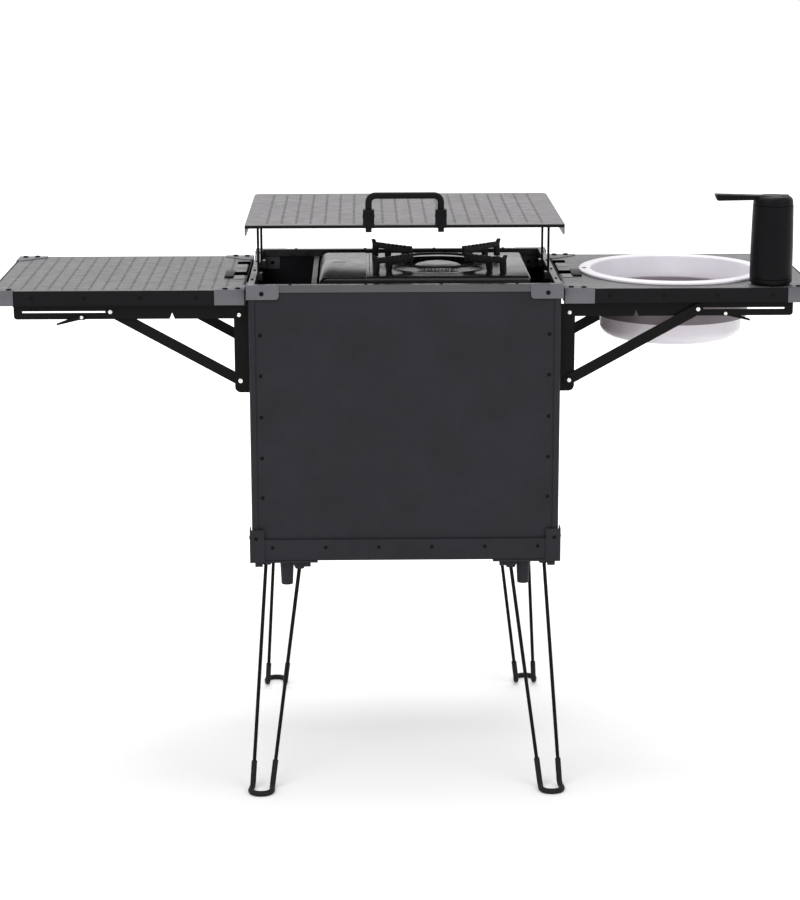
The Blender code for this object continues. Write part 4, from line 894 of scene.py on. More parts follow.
    def build_bracket_screws(self) -> None:
        """A screw in each upright face of the bottom corner brackets."""
        shape = Shape()
        head = self.bracket_screw_head
        for end, sign_y in FRONT_AND_REAR:
            for side, sign_x in LEFT_AND_RIGHT:
                low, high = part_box(f"base_bracket_{end}_{side}")
                face = low.y if sign_y < 0 else high.y
                x = high.x - self.bracket_screw_inset if sign_x > 0 else low.x + self.bracket_screw_inset
                z = high.z - self.bracket_screw_drop
                shape.screw((x, face, z), Facing.FRONT if sign_y < 0 else Facing.REAR, *head)
                side_face = high.x if sign_x > 0 else low.x
                y = high.y - self.bracket_screw_inset if sign_y > 0 else low.y + self.bracket_screw_inset
                shape.screw((side_face, y, z), Facing.RIGHT if sign_x > 0 else Facing.LEFT, *head)
        shape.finish("bracket_screws", BLACK_STEEL, "box")

    def build_divider_hem(self) -> None:
        """Folded hem along the top of the left compartment's divider."""
        low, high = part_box("stove_tray")
        inset, edge = self.hem_inset, self.divider_x
        hem = Shape()
        hem.block(
            (edge - self.hem_width, low.y + inset, high.z - self.hem_t),
            (edge, high.y - inset, high.z + self.hem_rise),
            0.0004,
        )
        hem.finish("divider_hem", GREY_COAT, "box")

    def build_inner_plates(self) -> None:
        """Grey plates inside the box's rear corners, each with a screw."""
        panel_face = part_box("rear_panel")[0].y
        side_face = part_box("right_panel")[0].x
        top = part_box("top_rim")[1].z - self.inner_plate_drop
        plates = Shape()
        screws = Shape()
        for _, sign_x in LEFT_AND_RIGHT:
            near = sign_x * (side_face - self.inner_plate_gap)
            far = near - sign_x * self.inner_plate_width
            bottom = top - self.inner_plate_height
            back = panel_face - self.inner_plate_gap
            plates.block((near, back - self.inner_plate_t, bottom), (far, back, top), 0.0004, 1)
            screw_x = near - sign_x * self.inner_plate_width * self.inner_screw_share
            screw_z = top - self.inner_plate_height / 2
            screws.screw((screw_x, back - self.inner_plate_t, screw_z), Facing.FRONT, *self.inner_screw_head)
        plates.finish("inner_corner_plates", GREY_COAT, "box")
        screws.finish("inner_corner_screws", BLACK_STEEL, "box")


@dataclass
class Lid:
    """The raised lid: slatted sheet, black sockets, bail handle and rods."""

    socket_skin: float = 0.0004
    socket_wall: float = 0.003
    socket_half: float = 0.0085
    socket_depth: float = 0.016
    socket_rise: float = 0.023
    nub_half: float = 0.0048
    rib_count: int = 4
    rib_pitch: float = 0.0038
    rib_half: float = 0.0006
    pin_back: float = 0.01022
    pin_rise: float = 0.0125
    pin_head: Size = (0.0026, 0.0008)
    leg_x: float = 0.057
    handle_radius: float = 0.0052
    handle_bend: float = 0.011
    handle_foot_z: float = 0.9276
    handle_pin_z: float = 0.932
    handle_pin_radius: float = 0.0015
    hem_inset: float = 0.0003
    hem_t: float = 0.0006

    def build(self, frame: dict) -> None:
        """Dresses the sheet and models the sockets and the handle.

        Args:
            frame: The loaded frame.
        """
        dress(frame, LID_TOP, "lid_panel")
        dress(frame, BLACK_STEEL, "lid_rods_left", "lid_rods_right")
        self.build_sockets()
        self.build_handle()
        self.build_hem()

    def build_sockets(self) -> None:
        """Black moulded skins round the sheet's two handle sockets, with the nubs under them."""
        top = LID_TOP.top_z
        skin, wide = self.socket_skin, self.socket_half
        wall, deep, rise = self.socket_wall, self.socket_depth, self.socket_rise
        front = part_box("lid_panel")[0].y
        sockets = Shape()
        for _, sign in LEFT_AND_RIGHT:
            x = sign * self.leg_x
            outline = [
                (x - wide - skin, front - skin),
                (x + wide + skin, front - skin),
                (x + wide + skin, front + deep + skin),
                (x + wide - wall - skin, front + deep + skin),
                (x + wide - wall - skin, front + wall + skin),
                (x - wide + wall + skin, front + wall + skin),
                (x - wide + wall + skin, front + deep + skin),
                (x - wide - skin, front + deep + skin),
            ]
            sockets.prism("Z", outline, top + 0.0002, top + rise + skin, 0.0008)
            sockets.block(
                (x - wide - skin, front - skin, top - 0.0055), (x + wide + skin, front, top + 0.001), 0.0002, 1
            )
            nub = self.nub_half
            sockets.block((x - nub, front - skin, top - 0.012), (x + nub, front + 0.0056, top - 0.0027), 0.0012)
            for step in range(self.rib_count):
                rib = x - wide + 0.0028 + step * self.rib_pitch
                sockets.block(
                    (rib - self.rib_half, front - skin - 0.0005, top + 0.002),
                    (rib + self.rib_half, front, top + rise - 0.002),
                    0.0002,
                    1,
                )
            for way, facing in ((-1, Facing.LEFT), (1, Facing.RIGHT)):
                pin_x = x + way * (wide + skin)
                sockets.dome((pin_x, front + self.pin_back, top + self.pin_rise), facing, *self.pin_head)
        sockets.finish("handle_sockets", BLACK_PLASTIC, "lid")

    def build_handle(self) -> None:
        """Bail handle, a round bar bent at both ends."""
        low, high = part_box("lid_handle")
        radius = self.handle_radius
        axis_y = (low.y + high.y) / 2
        leg_x, foot, grip = self.leg_x, self.handle_foot_z, high.z - radius
        corners = [(x, axis_y, z) for x, z in ((-leg_x, foot), (-leg_x, grip), (leg_x, grip), (leg_x, foot))]
        path = fillet(corners, [0, self.handle_bend, self.handle_bend, 0], 12)
        handle = Shape()
        handle.bar(path, radius)
        for _, sign in LEFT_AND_RIGHT:
            ends = (sign * leg_x - self.socket_half, sign * leg_x + self.socket_half)
            handle.bar([Vector((x, axis_y, self.handle_pin_z)) for x in ends], self.handle_pin_radius)
        handle.finish("bail_handle", BLACK_PLASTIC, "handle", ["lid_handle"])

    def build_hem(self) -> None:
        """Dark hem along the lid's front edge."""
        low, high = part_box("lid_panel")
        hem = Shape()
        top, inset = LID_TOP.top_z, self.hem_inset
        hem.block(
            (low.x + inset, low.y - self.hem_t, top - 0.0052), (high.x - inset, low.y, top - 0.0008), 0.0002, 1
        )
        hem.finish("lid_front_hem", BLACK_STEEL, "lid")


@dataclass
class Wing:
    """One wing table with its brackets, corner caps, latch and rivets."""

    side: str
    hand: int
    rail_rivet_x: tuple[float, ...] = (0.328, 0.4135, 0.499, 0.587)
    cap_length: float = 0.047
    front_cap: float = 0.047
    cap_t: float = 0.0012
    cap_drop: float = 0.0236
    cap_arm: float = 0.012
    cap_round: float = 0.018
    cap_gap: float = 0.0001
    cap_screws: tuple[Size, ...] = ((0.010, 0.009), (0.030, 0.007))
    cap_screw_head: Size = (0.0046, 0.0019)
    slot_length: float = 0.022
    slot_spans: tuple[tuple[float, float], ...] = ((0.082, 0.112), (-0.030, 0.001))
    plate_spans: tuple[tuple[float, float], ...] = ((0.044, 0.080), (0.003, 0.013), (-0.068, -0.034))
    # Where the strip of painted shade lies, at the fold between the latch plates.
    fold_shade_span: tuple[float, float] = (0.013, 0.044)
    catch_span: tuple[float, float] = (-0.058, 0.002)
    edge_width: float = 0.003
    plate_inset: float = 0.004
    catch_reach: float = 0.0145
    catch_rise: float = 0.0034
    outer_rivet_y: tuple[float, ...] = (-0.080, 0.0, 0.080)
    fold_x: float = 0.264
    fold_z: float = 0.7735
    strut_z: float = 0.6645
    strut_pin_x: float = 0.4695
    strut_pin_z: float = 0.7785
    lever_x: float = 0.515
    lever_z: float = 0.770
    bracket_y: float = 0.166
    sheet_half: float = 0.00125
    arm_gap: float = 0.00155
    arm_t: float = 0.0025
    pivot_head: Size = (0.0036, 0.0014)
    flush_rise: float = 0.0002
    lever_head: Size = (0.003, 0.0012)
    small_head: Size = (0.0022, 0.001)
    small_out: float = 0.010
    small_drop: float = 0.001

    def build(self, frame: dict) -> None:
        """Dresses the wing's solids and adds its trim.

        Args:
            frame: The loaded frame.
        """
        side = self.side
        dress(frame, FRAME_PAINT, f"wing_frame_{side}")
        dress(frame, WING_TOP if self.hand < 0 else PLAIN_TOP, f"wing_panel_{side}")
        for end, _ in FRONT_AND_REAR:
            dress(
                frame,
                BLACK_STEEL,
                f"wing_arm_{side}_{end}",
                f"strut_{side}_{end}",
                f"release_lever_{side}_{end}",
                f"wall_plate_{side}_{end}",
            )
        self.build_caps()
        self.build_latch()
        self.build_rail_rivets()
        self.build_bracket_rivets()

    def build_caps(self) -> None:
        """Grey caps over the frame's four corners, each held by two screws."""
        low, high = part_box(f"wing_frame_{self.side}")
        caps = Shape()
        screws = Shape()
        t = self.cap_t
        for x, way_x in ((low.x, 1), (high.x, -1)):
            for y, way_y in ((low.y, 1), (high.y, -1)):
                outer_front = way_x == -self.hand and way_y > 0
                inner_x = x + way_x * (self.front_cap if outer_front else self.cap_length)
                inner_y = y + way_y * self.cap_length
                outline = rounded(
                    [
                        (x - way_x * t, y - way_y * t, 0),
                        (inner_x, y - way_y * t, 0),
                        (inner_x, y + way_y * self.cap_arm, 0.004),
                        (x + way_x * self.cap_arm, inner_y, self.cap_round),
                        (x - way_x * t, inner_y, 0),
                    ],
                    4,
                )
                caps.prism("Z", outline, high.z + self.cap_gap, high.z + t, 0.0003)
                outer = (x - way_x * t, y - way_y * t, high.z - self.cap_drop)
                caps.block(outer, (inner_x, y - way_y * self.cap_gap, high.z + t * 0.9), 0.0005)
                caps.block(outer, (x - way_x * self.cap_gap, inner_y, high.z + t * 0.9), 0.0005)
                for out, over in self.cap_screws:
                    at = (x + way_x * out, y + way_y * over, high.z + t)
                    screws.screw(at, Facing.UP, *self.cap_screw_head)
        caps.finish(f"wing_{self.side}_corner_caps", GREY_COAT, f"wing_{self.side}")
        screws.finish(f"wing_{self.side}_cap_screws", BLACK_STEEL, f"wing_{self.side}")

    def build_latch(self) -> None:
        """Latch at the wing's inner edge: flat black strips of painted shade over its two slot openings and its
        edge gap, plates painted lighter as painted light on their tops, a darker grey strip of painted shade at
        the fold between them, and a black catch.
        """
        low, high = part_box(f"wing_frame_{self.side}")
        inner = low.x if self.hand > 0 else high.x
        hand = self.hand
        near = inner + hand * 0.001
        far = near + hand * self.slot_length
        top = high.z
        # Painted shade: flat near-black strips over the two slot openings and along the wing's edge gap.
        slot_shades = Shape()
        for front, rear in self.slot_spans:
            slot_shades.block((near, front, top - 0.0005), (far, rear, top + 0.0006), 0.0002, 1)
        edge = near + hand * self.edge_width
        front, rear = self.slot_spans[1][0], self.slot_spans[0][1]
        slot_shades.block((near, front, top - 0.0004), (edge, rear, top + 0.0005), 0.0002, 1)
        slot_shades.finish(f"wing_{self.side}_latch_slot_shades", SLOT_SHADE_PAINT, f"wing_{self.side}")
        catch = Shape()
        start, end = far - hand * 0.001, far + hand * self.catch_reach
        front, rear = self.catch_span
        catch.block((start, front, top - 0.0004), (end, rear, top + self.catch_rise), 0.0014, 3)
        catch.finish(f"wing_{self.side}_latch_catch", BLACK_PLASTIC, f"wing_{self.side}")
        # Painted light: the plates take a lighter copy of the grey coat for their lit tops.
        plate = Shape()
        start = near + hand * self.plate_inset
        for front, rear in self.plate_spans:
            plate.block((start, front, top + 0.0001), (far, rear, top + 0.0010), 0.0004, 1)
        plate.finish(f"wing_{self.side}_lit_latch_plates", LIT_PLATE_PAINT, f"wing_{self.side}")
        # Painted shade: a darker grey strip at the fold between the plates.
        seam = Shape()
        front, rear = self.fold_shade_span
        seam.block((start, front, top - 0.0002), (far, rear, top + 0.0004), 0.0002, 1)
        seam.finish(f"wing_{self.side}_latch_fold_shade", GREY_COAT, f"wing_{self.side}")

    def build_rail_rivets(self) -> None:
        """Rivets along the frame's long rails and its outer rail."""
        low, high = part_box(f"wing_frame_{self.side}")
        shape = Shape()
        z = (low.z + high.z) / 2
        for x in self.rail_rivet_x:
            shape.rivet((self.hand * x, low.y, z), Facing.FRONT)
            shape.rivet((self.hand * x, high.y, z), Facing.REAR)
        outer = high.x if self.hand > 0 else low.x
        facing = Facing.RIGHT if self.hand > 0 else Facing.LEFT
        for y in self.outer_rivet_y:
            shape.rivet((outer, y, z), facing)
        shape.finish(f"wing_{self.side}_rail_rivets", BLACK_STEEL, f"wing_{self.side}")

    def build_bracket_rivets(self) -> None:
        """Bright rivet heads of the folding brackets, flush where the folded arm passes over them."""
        hand = self.hand
        radius, rise = self.pivot_head
        for end, sign_y in FRONT_AND_REAR:
            middle = sign_y * self.bracket_y
            plate = Shape()
            plate_low, plate_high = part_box(f"wall_plate_{self.side}_{end}")
            strut_low, strut_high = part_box(f"strut_{self.side}_{end}")
            for z in (self.fold_z, self.strut_z):
                fold = z == self.fold_z
                headed_front = (hand < 0) if fold else (hand > 0)
                front_face = plate_low.y if headed_front else middle - self.sheet_half
                rear_face = middle + self.sheet_half if headed_front else plate_high.y
                front_rise = rise if fold or headed_front else self.flush_rise
                rear_rise = self.flush_rise if not fold and headed_front else rise
                plate.dome((hand * self.fold_x, front_face, z), Facing.FRONT, radius, front_rise)
                plate.dome((hand * self.fold_x, rear_face, z), Facing.REAR, radius, rear_rise)
            plate.finish(f"bracket_{self.side}_{end}_wall_rivets", RIVET_STEEL, "box")
            pins = Shape()
            pin_x = hand * self.strut_pin_x
            if hand > 0:
                pins.dome((pin_x, strut_low.y, self.strut_pin_z), Facing.FRONT, radius, rise)
            else:
                pins.dome((pin_x, strut_high.y, self.strut_pin_z), Facing.REAR, radius, rise)
            pins.finish(f"bracket_{self.side}_{end}_strut_pin", RIVET_STEEL, f"struts_{self.side}")
            arm = Shape()
            face = middle + hand * self.arm_gap
            front_face = face if hand > 0 else face - self.arm_t
            rear_face = front_face + self.arm_t
            if hand < 0:
                arm.dome((pin_x, front_face, self.strut_pin_z), Facing.FRONT, radius, rise)
            lever_x = hand * self.lever_x
            if hand > 0:
                arm.dome((lever_x, front_face, self.lever_z), Facing.FRONT, *self.lever_head)
            else:
                arm.dome((lever_x, rear_face, self.lever_z), Facing.REAR, *self.lever_head)
            small_x = hand * (self.fold_x + self.small_out)
            arm.dome((small_x, rear_face, self.fold_z - self.small_drop), Facing.REAR, *self.small_head)
            arm.finish(f"bracket_{self.side}_{end}_arm_rivets", RIVET_STEEL, f"wing_{self.side}")
            lever_low, lever_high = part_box(f"release_lever_{self.side}_{end}")
            lever = Shape()
            if hand > 0:
                lever.dome((lever_x, lever_high.y, self.lever_z), Facing.REAR, *self.lever_head)
            else:
                lever.dome((lever_x, lever_low.y, self.lever_z), Facing.FRONT, *self.lever_head)
            lever.finish(f"lever_{self.side}_{end}_rivet", RIVET_STEEL, f"lever_{self.side}_{end}")


@dataclass
class Basin:
    """Collapsible basin of three milky rings."""

    wall: float = 0.003
    wall_radius: float = 0.1375
    hook: float = 0.0065
    rim_t: float = 0.005
    eyelet_inset: float = 0.0085
    foot_round: float = 0.018
    segments: int = 112

    def build(self) -> None:
        """Models the three rings and the rim's eyelet."""
        low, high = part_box("basin_rim")
        centre = ((low.x + high.x) / 2, (low.y + high.y) / 2, 0)
        self.build_rim(low, high, centre)
        self.build_middle(centre)
        self.build_bottom(centre)

    def build_rim(self, low: Vector, high: Vector, centre: Point) -> None:
        """Top ring with its wide rolled rim.

        Args:
            low: The solid's lowest corner.
            high: Its highest corner.
            centre: The basin's axis.
        """
        radius = (high.x - low.x) / 2
        wall_radius = self.wall_radius
        under = high.z - self.rim_t
        inner = wall_radius - self.wall
        profile = rounded(
            [
                (wall_radius, low.z + 0.02, 0),
                (wall_radius, under, 0.0008),
                (radius, under, 0.0012),
                (radius, high.z - 0.0012, 0.0009),
                (radius - 0.004, high.z, 0.002),
                (inner, high.z, 0.003),
                (inner, low.z + self.wall, 0.0015),
                (inner - self.hook, low.z + self.wall, 0.0004),
                (inner - self.hook, low.z, 0.0004),
                (wall_radius, low.z, 0.001),
                (wall_radius, low.z + 0.02, 0),
            ]
        )
        ring = Shape()
        ring.turned(profile[:-1], centre, None, self.segments, closed=True)
        ring.finish("basin_top_ring", MILKY, "basin_top", ["basin_rim"])
        eyelet = Shape()
        hole_x = centre[0] - radius + self.eyelet_inset
        section = [(0.0018, 0.0002), (0.0028, 0.0006), (0.0036, 0.0)]
        eyelet.turned(section, (hole_x, 0, high.z), None, 20, closed=True)
        eyelet.finish("basin_rim_eyelet", BLACK_STEEL, "basin_top")

    def build_middle(self, centre: Point) -> None:
        """Middle ring, drawn much darker than the milky rings.

        Args:
            centre: The basin's axis.
        """
        low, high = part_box("basin_middle")
        hooked = (high.x - low.x) / 2
        outer = hooked - self.hook
        inner = outer - self.wall
        profile = [
            (outer, low.z),
            (outer, high.z - self.wall),
            (hooked, high.z - self.wall),
            (hooked, high.z),
            (inner, high.z),
            (inner, low.z + self.wall),
            (inner - self.hook, low.z + self.wall),
            (inner - self.hook, low.z),
        ]
        ring = Shape()
        ring.turned(profile, centre, None, self.segments, closed=True)
        ring.finish("basin_middle_ring", DARK_RING_TONE, "basin_mid", ["basin_middle"])

    def build_bottom(self, centre: Point) -> None:
        """Bottom tub with its rounded foot.

        Args:
            centre: The basin's axis.
        """
        low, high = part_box("basin_bottom")
        hooked = (high.x - low.x) / 2
        outer = hooked - self.hook
        floor = low.z
        outside = rounded([(0, floor, 0), (outer, floor, self.foot_round), (outer, high.z - self.wall, 0)], 12)
        inside = rounded(
            [
                (outer - self.wall, high.z, 0),
                (outer - self.wall, floor + self.wall, self.foot_round - self.wall),
                (0, floor + self.wall, 0),
            ],
            12,
        )
        profile = [*outside, (hooked, high.z - self.wall), (hooked, high.z), *inside]
        tub = Shape()
        tub.turned(profile, centre, None, self.segments, closed=True)
        tub.finish("basin_tub", MILKY, "basin_base", ["basin_bottom"])


@dataclass
class Pump:
    """Tap pump: round body with a stepped-in foot, swivelling cap with the spout, and button."""

    segments: int = 96
    groove_rise: float = 0.0105
    shoulder_radius: float = 0.0322
    cap_radius: float = 0.0321
    cap_round: float = 0.0085
    spout_t: float = 0.003
    spout_half: float = 0.0108
    pocket_depth: float = 0.0065
    button_gap: float = 0.0003

    def build(self) -> None:
        """Models the pump's three moving pieces."""
        low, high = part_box("pump_body")
        centre = ((low.x + high.x) / 2, (low.y + high.y) / 2, 0)
        radius = (high.x - low.x) / 2
        body = Shape()
        groove = low.z + self.groove_rise
        profile = rounded(
            [
                (0, low.z, 0),
                (radius - 0.003, low.z, 0.0006),
                (radius - 0.003, low.z + 0.003, 0.0006),
                (radius - 0.0004, low.z + 0.0038, 0.0008),
                (radius - 0.0001, groove - 0.0008, 0.0003),
                (radius - 0.0014, groove, 0.0003),
                (radius - 0.0001, groove + 0.0008, 0.0003),
                (radius - 0.0002, low.z + 0.06, 0.05),
                (self.shoulder_radius, high.z - 0.0004, 0.0006),
                (0, high.z, 0),
            ]
        )
        body.turned(profile, centre, None, self.segments)
        body.finish("pump_barrel", BLACK_PLASTIC, "pump", ["pump_body"])
        self.build_spout(centre)
        self.build_button()

    def build_spout(self, centre: Point) -> None:
        """Cap with the slim flat spout that lies over it.

        Args:
            centre: The pump's axis.
        """
        low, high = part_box("pump_spout")
        cap_top = high.z - self.spout_t
        radius = self.cap_radius
        cap = Shape()
        profile = rounded(
            [
                (0, low.z, 0),
                (radius, low.z, 0.0005),
                (radius - 0.0016, cap_top, self.cap_round),
                (0, cap_top, 0),
            ],
            10,
        )
        cap.turned(profile, centre, None, self.segments)
        pocket = Shape()
        button_low, button_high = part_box("pump_button")
        button_x = (button_low.x + button_high.x) / 2
        button_y = (button_low.y + button_high.y) / 2
        bore = (button_high.x - button_low.x) / 2 + self.button_gap
        floor, above = cap_top - self.pocket_depth, cap_top + 0.004
        pocket.turned([(0, floor), (bore, floor), (bore, above), (0, above)], (button_x, button_y, 0), None, 48)
        cap.cut(pocket)
        tip = low.x
        side = rounded(
            [
                (centre[0] - 0.004, high.z - 0.0085, 0),
                (centre[0] + 0.004, high.z - 0.004, 0.001),
                (centre[0] - 0.006, high.z - 0.0026, 0.004),
                (tip, high.z, 0.0012),
                (tip + 0.0035, high.z - 0.0098, 0.001),
                (tip + 0.0095, high.z - 0.0098, 0.003),
                (centre[0] - 0.03, high.z - 0.0090, 0),
            ],
            5,
        )
        cap.prism("Y", side, centre[1] - self.spout_half, centre[1] + self.spout_half, 0.0012)
        cap.finish("pump_cap_and_spout", BLACK_PLASTIC, "spout", ["pump_spout"])

    def build_button(self) -> None:
        """Round push button with a dished top."""
        low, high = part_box("pump_button")
        centre = ((low.x + high.x) / 2, (low.y + high.y) / 2, 0)
        radius = (high.x - low.x) / 2
        button = Shape()
        profile = rounded(
            [
                (0, low.z, 0),
                (radius, low.z, 0),
                (radius, high.z, 0.0008),
                (radius * 0.6, high.z, 0),
                (0, high.z - 0.0004, 0),
            ]
        )
        button.turned(profile, centre, None, 48)
        button.finish("pump_push_button", GREY_COAT, "button", ["pump_button"])


@dataclass
class Stove:
    """Gas stove: enamelled shell, rounded cartridge cover, burner, pan support, cartridge and knob."""

    shoulder: float = 0.014
    edge: float = 0.006
    skin: float = 0.006
    beyond: float = 0.01
    seam_x: tuple[float, ...] = (-0.0553, -0.0475)
    cover_t: float = 0.0016
    bay_right: float = -0.065
    well_radius: float = 0.090
    well_depth: float = 0.010

    def build(self) -> None:
        """Models the stove's pieces."""
        self.build_shell()
        self.build_cover()
        self.build_burner()
        self.build_support()
        self.build_cartridge()
        self.build_knob()

    def build_shell(self) -> None:
        """Shell with the cartridge bay, the cover's seat and the round well."""
        low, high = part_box("stove_body")
        seat_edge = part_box("cartridge_cover")[1].x + 0.0004
        support_low, support_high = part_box("pan_support")
        burner_x = (support_low.x + support_high.x) / 2
        shell = Shape()
        shell.block(low, high, self.edge, 4)
        seat = Shape()
        drop = self.shoulder + self.cover_t
        outline = rounded(
            [
                (seat_edge, high.z + self.beyond, 0),
                (seat_edge, high.z - self.cover_t - 0.0012, 0),
                (low.x + self.cover_t + 0.0004, high.z - self.cover_t - 0.0012, self.shoulder),
                (low.x + self.cover_t + 0.0004, high.z - drop, 0),
                (low.x - self.beyond, high.z - drop, 0),
                (low.x - self.beyond, high.z + self.beyond, 0),
            ],
            8,
        )
        seat.prism("Y", outline, low.y - self.beyond, high.y + self.beyond)
        shell.cut(seat)
        bay = Shape()
        skin = self.skin
        bay_end = (self.bay_right, high.y - skin, high.z + self.beyond)
        bay.block((low.x + skin, low.y + skin, low.z + skin), bay_end, 0.003)
        shell.cut(bay)
        well = Shape()
        floor, above = high.z - self.well_depth, high.z + 0.004
        radius = self.well_radius
        section = rounded([(0, floor, 0), (radius - 0.008, floor, 0.006), (radius, above, 0), (0, above, 0)], 8)
        well.turned(section, (burner_x, 0, 0), None, 96)
        shell.cut(well)
        shell.finish("stove_shell", ENAMEL, "box", ["stove_body"], 30)
        seams = Shape()
        for x in self.seam_x:
            seams.block(
                (x - 0.0006, low.y + 0.003, high.z - 0.0002),
                (x + 0.0006, high.y - 0.003, high.z + 0.00015),
                0.0001,
                1,
            )
        seams.finish("stove_deck_seams", CAST_BLACK, "box")
        fold = Shape()
        fold.block(
            (low.x + 0.03, low.y - 0.0009, high.z - 0.0205), (high.x - 0.012, low.y, high.z - 0.0185), 0.0004, 1
        )
        fold.finish("stove_front_fold", ENAMEL, "box")

    def build_cover(self) -> None:
        """Cartridge cover: a pressed sheet, rolled down over the stove's left side."""
        low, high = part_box("cartridge_cover")
        t = self.cover_t
        bend = self.shoulder * 0.98
        outside = rounded([(low.x, high.z - self.shoulder, 0), (low.x, high.z, bend), (high.x, high.z, 0)], 10)
        inside = rounded(
            [
                (high.x, high.z - t, 0),
                (low.x + t, high.z - t, bend - t),
                (low.x + t, high.z - self.shoulder, 0),
            ],
            10,
        )
        cover = Shape()
        cover.prism("Y", [*outside, *inside], low.y + 0.0005, high.y - 0.0005, 0.0006)
        slot = Shape()
        slot.block((-0.1165, 0.024, high.z - 0.004), (-0.0945, 0.0295, high.z + 0.002), 0.0012)
        cover.cut(slot)
        cover.finish("cartridge_cover_sheet", ENAMEL, "cover", ["cartridge_cover"], 30)
        bead = Shape()
        ends = (low.x + 0.016, high.x - 0.008)
        bead.bar([Vector((x, low.y + 0.012, high.z - 0.0002)) for x in ends], 0.0009)
        bead.finish("cartridge_cover_bead", ENAMEL, "cover")

    def build_burner(self) -> None:
        """Burner head with a dished cap, a crown whose port openings are black marks of painted shade, and two
        feelers.
        """
        low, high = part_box("burner")
        centre = ((low.x + high.x) / 2, (low.y + high.y) / 2, 0)
        radius = (high.x - low.x) / 2
        head = Shape()
        profile = rounded(
            [
                (0, low.z, 0),
                (0.022, low.z, 0),
                (0.022, low.z + 0.004, 0.001),
                (radius, low.z + 0.0045, 0.001),
                (radius, low.z + 0.0085, 0.0015),
                (radius - 0.003, low.z + 0.010, 0.002),
                (0.024, high.z, 0.004),
                (0, high.z - 0.0014, 0),
            ]
        )
        head.turned(profile, centre, None, 96)
        head.finish("burner_head", SILVER, "box", ["burner"], 30)
        # Painted shade: small black blocks stand for the shade inside the crown's ports.
        port_shades = Shape()
        count = 40
        for step in range(count):
            angle = 2 * math.pi * step / count
            at = (centre[0] + radius * math.cos(angle), centre[1] + radius * math.sin(angle), low.z + 0.0065)
            before = set(port_shades.mesh.verts)
            port_shades.block((-0.0004, -0.0009, -0.0012), (0.0005, 0.0009, 0.0012), 0.0002, 1)
            made = [vert for vert in port_shades.mesh.verts if vert not in before]
            matrix = Matrix.Translation(at) @ Matrix.Rotation(angle, 4, "Z")
            bmesh.ops.transform(port_shades.mesh, matrix=matrix, verts=made)
        port_shades.finish("burner_port_shades", CAST_BLACK, "box")
        feelers = Shape()
        for x, y in ((-0.020, -0.044), (0.018, -0.044)):
            foot = Vector((centre[0] + x, centre[1] + y, low.z - 0.0005))
            head_point = foot + Vector((0, 0.003, 0.012))
            feelers.bar([foot, foot + Vector((0, 0, 0.009)), head_point], 0.0014)
        feelers.finish("burner_feelers", SILVER, "box")

    def build_support(self) -> None:
        """Pan support: ring and four serrated, horned arms, each on two stout legs."""
        low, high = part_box("pan_support")
        centre = Vector(((low.x + high.x) / 2, 0, 0))
        base = low.z
        top = base + 0.024
        ring_radius, reach, inner = 0.074, 0.1425, 0.057
        support = Shape()
        ring = rounded(
            [
                (ring_radius - 0.003, base + 0.0043, 0),
                (ring_radius + 0.003, base + 0.0043, 0.0012),
                (ring_radius + 0.003, base + 0.008, 0.0012),
                (ring_radius - 0.003, base + 0.008, 0.0012),
                (ring_radius - 0.003, base + 0.0043, 0),
            ]
        )
        support.turned(ring[:-1], centre, None, 96, closed=True)
        angle = math.radians(41)
        for turn in (angle, math.pi - angle, math.pi + angle, -angle):
            before = set(support.mesh.verts)
            outline = [
                (reach, base),
                (reach - 0.0012, top - 0.004),
                (reach + 0.0012, high.z),
                (reach - 0.0034, high.z),
                (reach - 0.0062, top),
            ]
            along = reach - 0.028
            while along > inner + 0.006:
                outline += [(along, top), (along - 0.0008, top - 0.0030), (along - 0.0034, top - 0.0030)]
                outline.append((along - 0.0042, top))
                along -= 0.0088
            under = top - 0.0135
            outline += [
                (inner, top),
                (inner, under),
                (ring_radius - 0.003, under),
                (ring_radius - 0.003, base + 0.004),
                (ring_radius + 0.003, base + 0.004),
                (ring_radius + 0.003, under),
                (reach - 0.040, under),
                (reach - 0.038, base),
                (reach - 0.029, base),
                (reach - 0.028, under + 0.004),
                (reach - 0.012, under + 0.004),
                (reach - 0.0105, base),
            ]
            support.prism("Y", outline, -0.0028, 0.0028, 0.0006)
            made = [vert for vert in support.mesh.verts if vert not in before]
            matrix = Matrix.Translation(centre) @ Matrix.Rotation(turn, 4, "Z")
            bmesh.ops.transform(support.mesh, matrix=matrix, verts=made)
        support.finish("pan_support_casting", CAST_BLACK, "support", ["pan_support"])

    def build_cartridge(self) -> None:
        """Gas cartridge with a domed shoulder and a rolled seam."""
        low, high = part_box("gas_cartridge")
        axis_x, axis_z = (low.x + high.x) / 2, (low.z + high.z) / 2
        radius = (high.x - low.x) / 2
        length = high.y - low.y
        bottle = Shape()
        profile = rounded(
            [
                (0, 0.003, 0),
                (radius - 0.006, 0.003, 0.001),
                (radius - 0.004, 0, 0.001),
                (radius, 0, 0.0012),
                (radius, 0.003, 0.0008),
                (radius - 0.0006, 0.0045, 0.0008),
                (radius - 0.0006, length - 0.013, 0.003),
                (0.0165, length - 0.004, 0.003),
                (0.016, length, 0.001),
                (0.006, length, 0.001),
                (0.006, length - 0.002, 0),
                (0, length - 0.002, 0),
            ]
        )
        bottle.turned(profile, (axis_x, low.y, axis_z), Facing.REAR.turn(), 72)
        bottle.finish("gas_cartridge_tin", CARTRIDGE, "box", ["gas_cartridge"], 30)

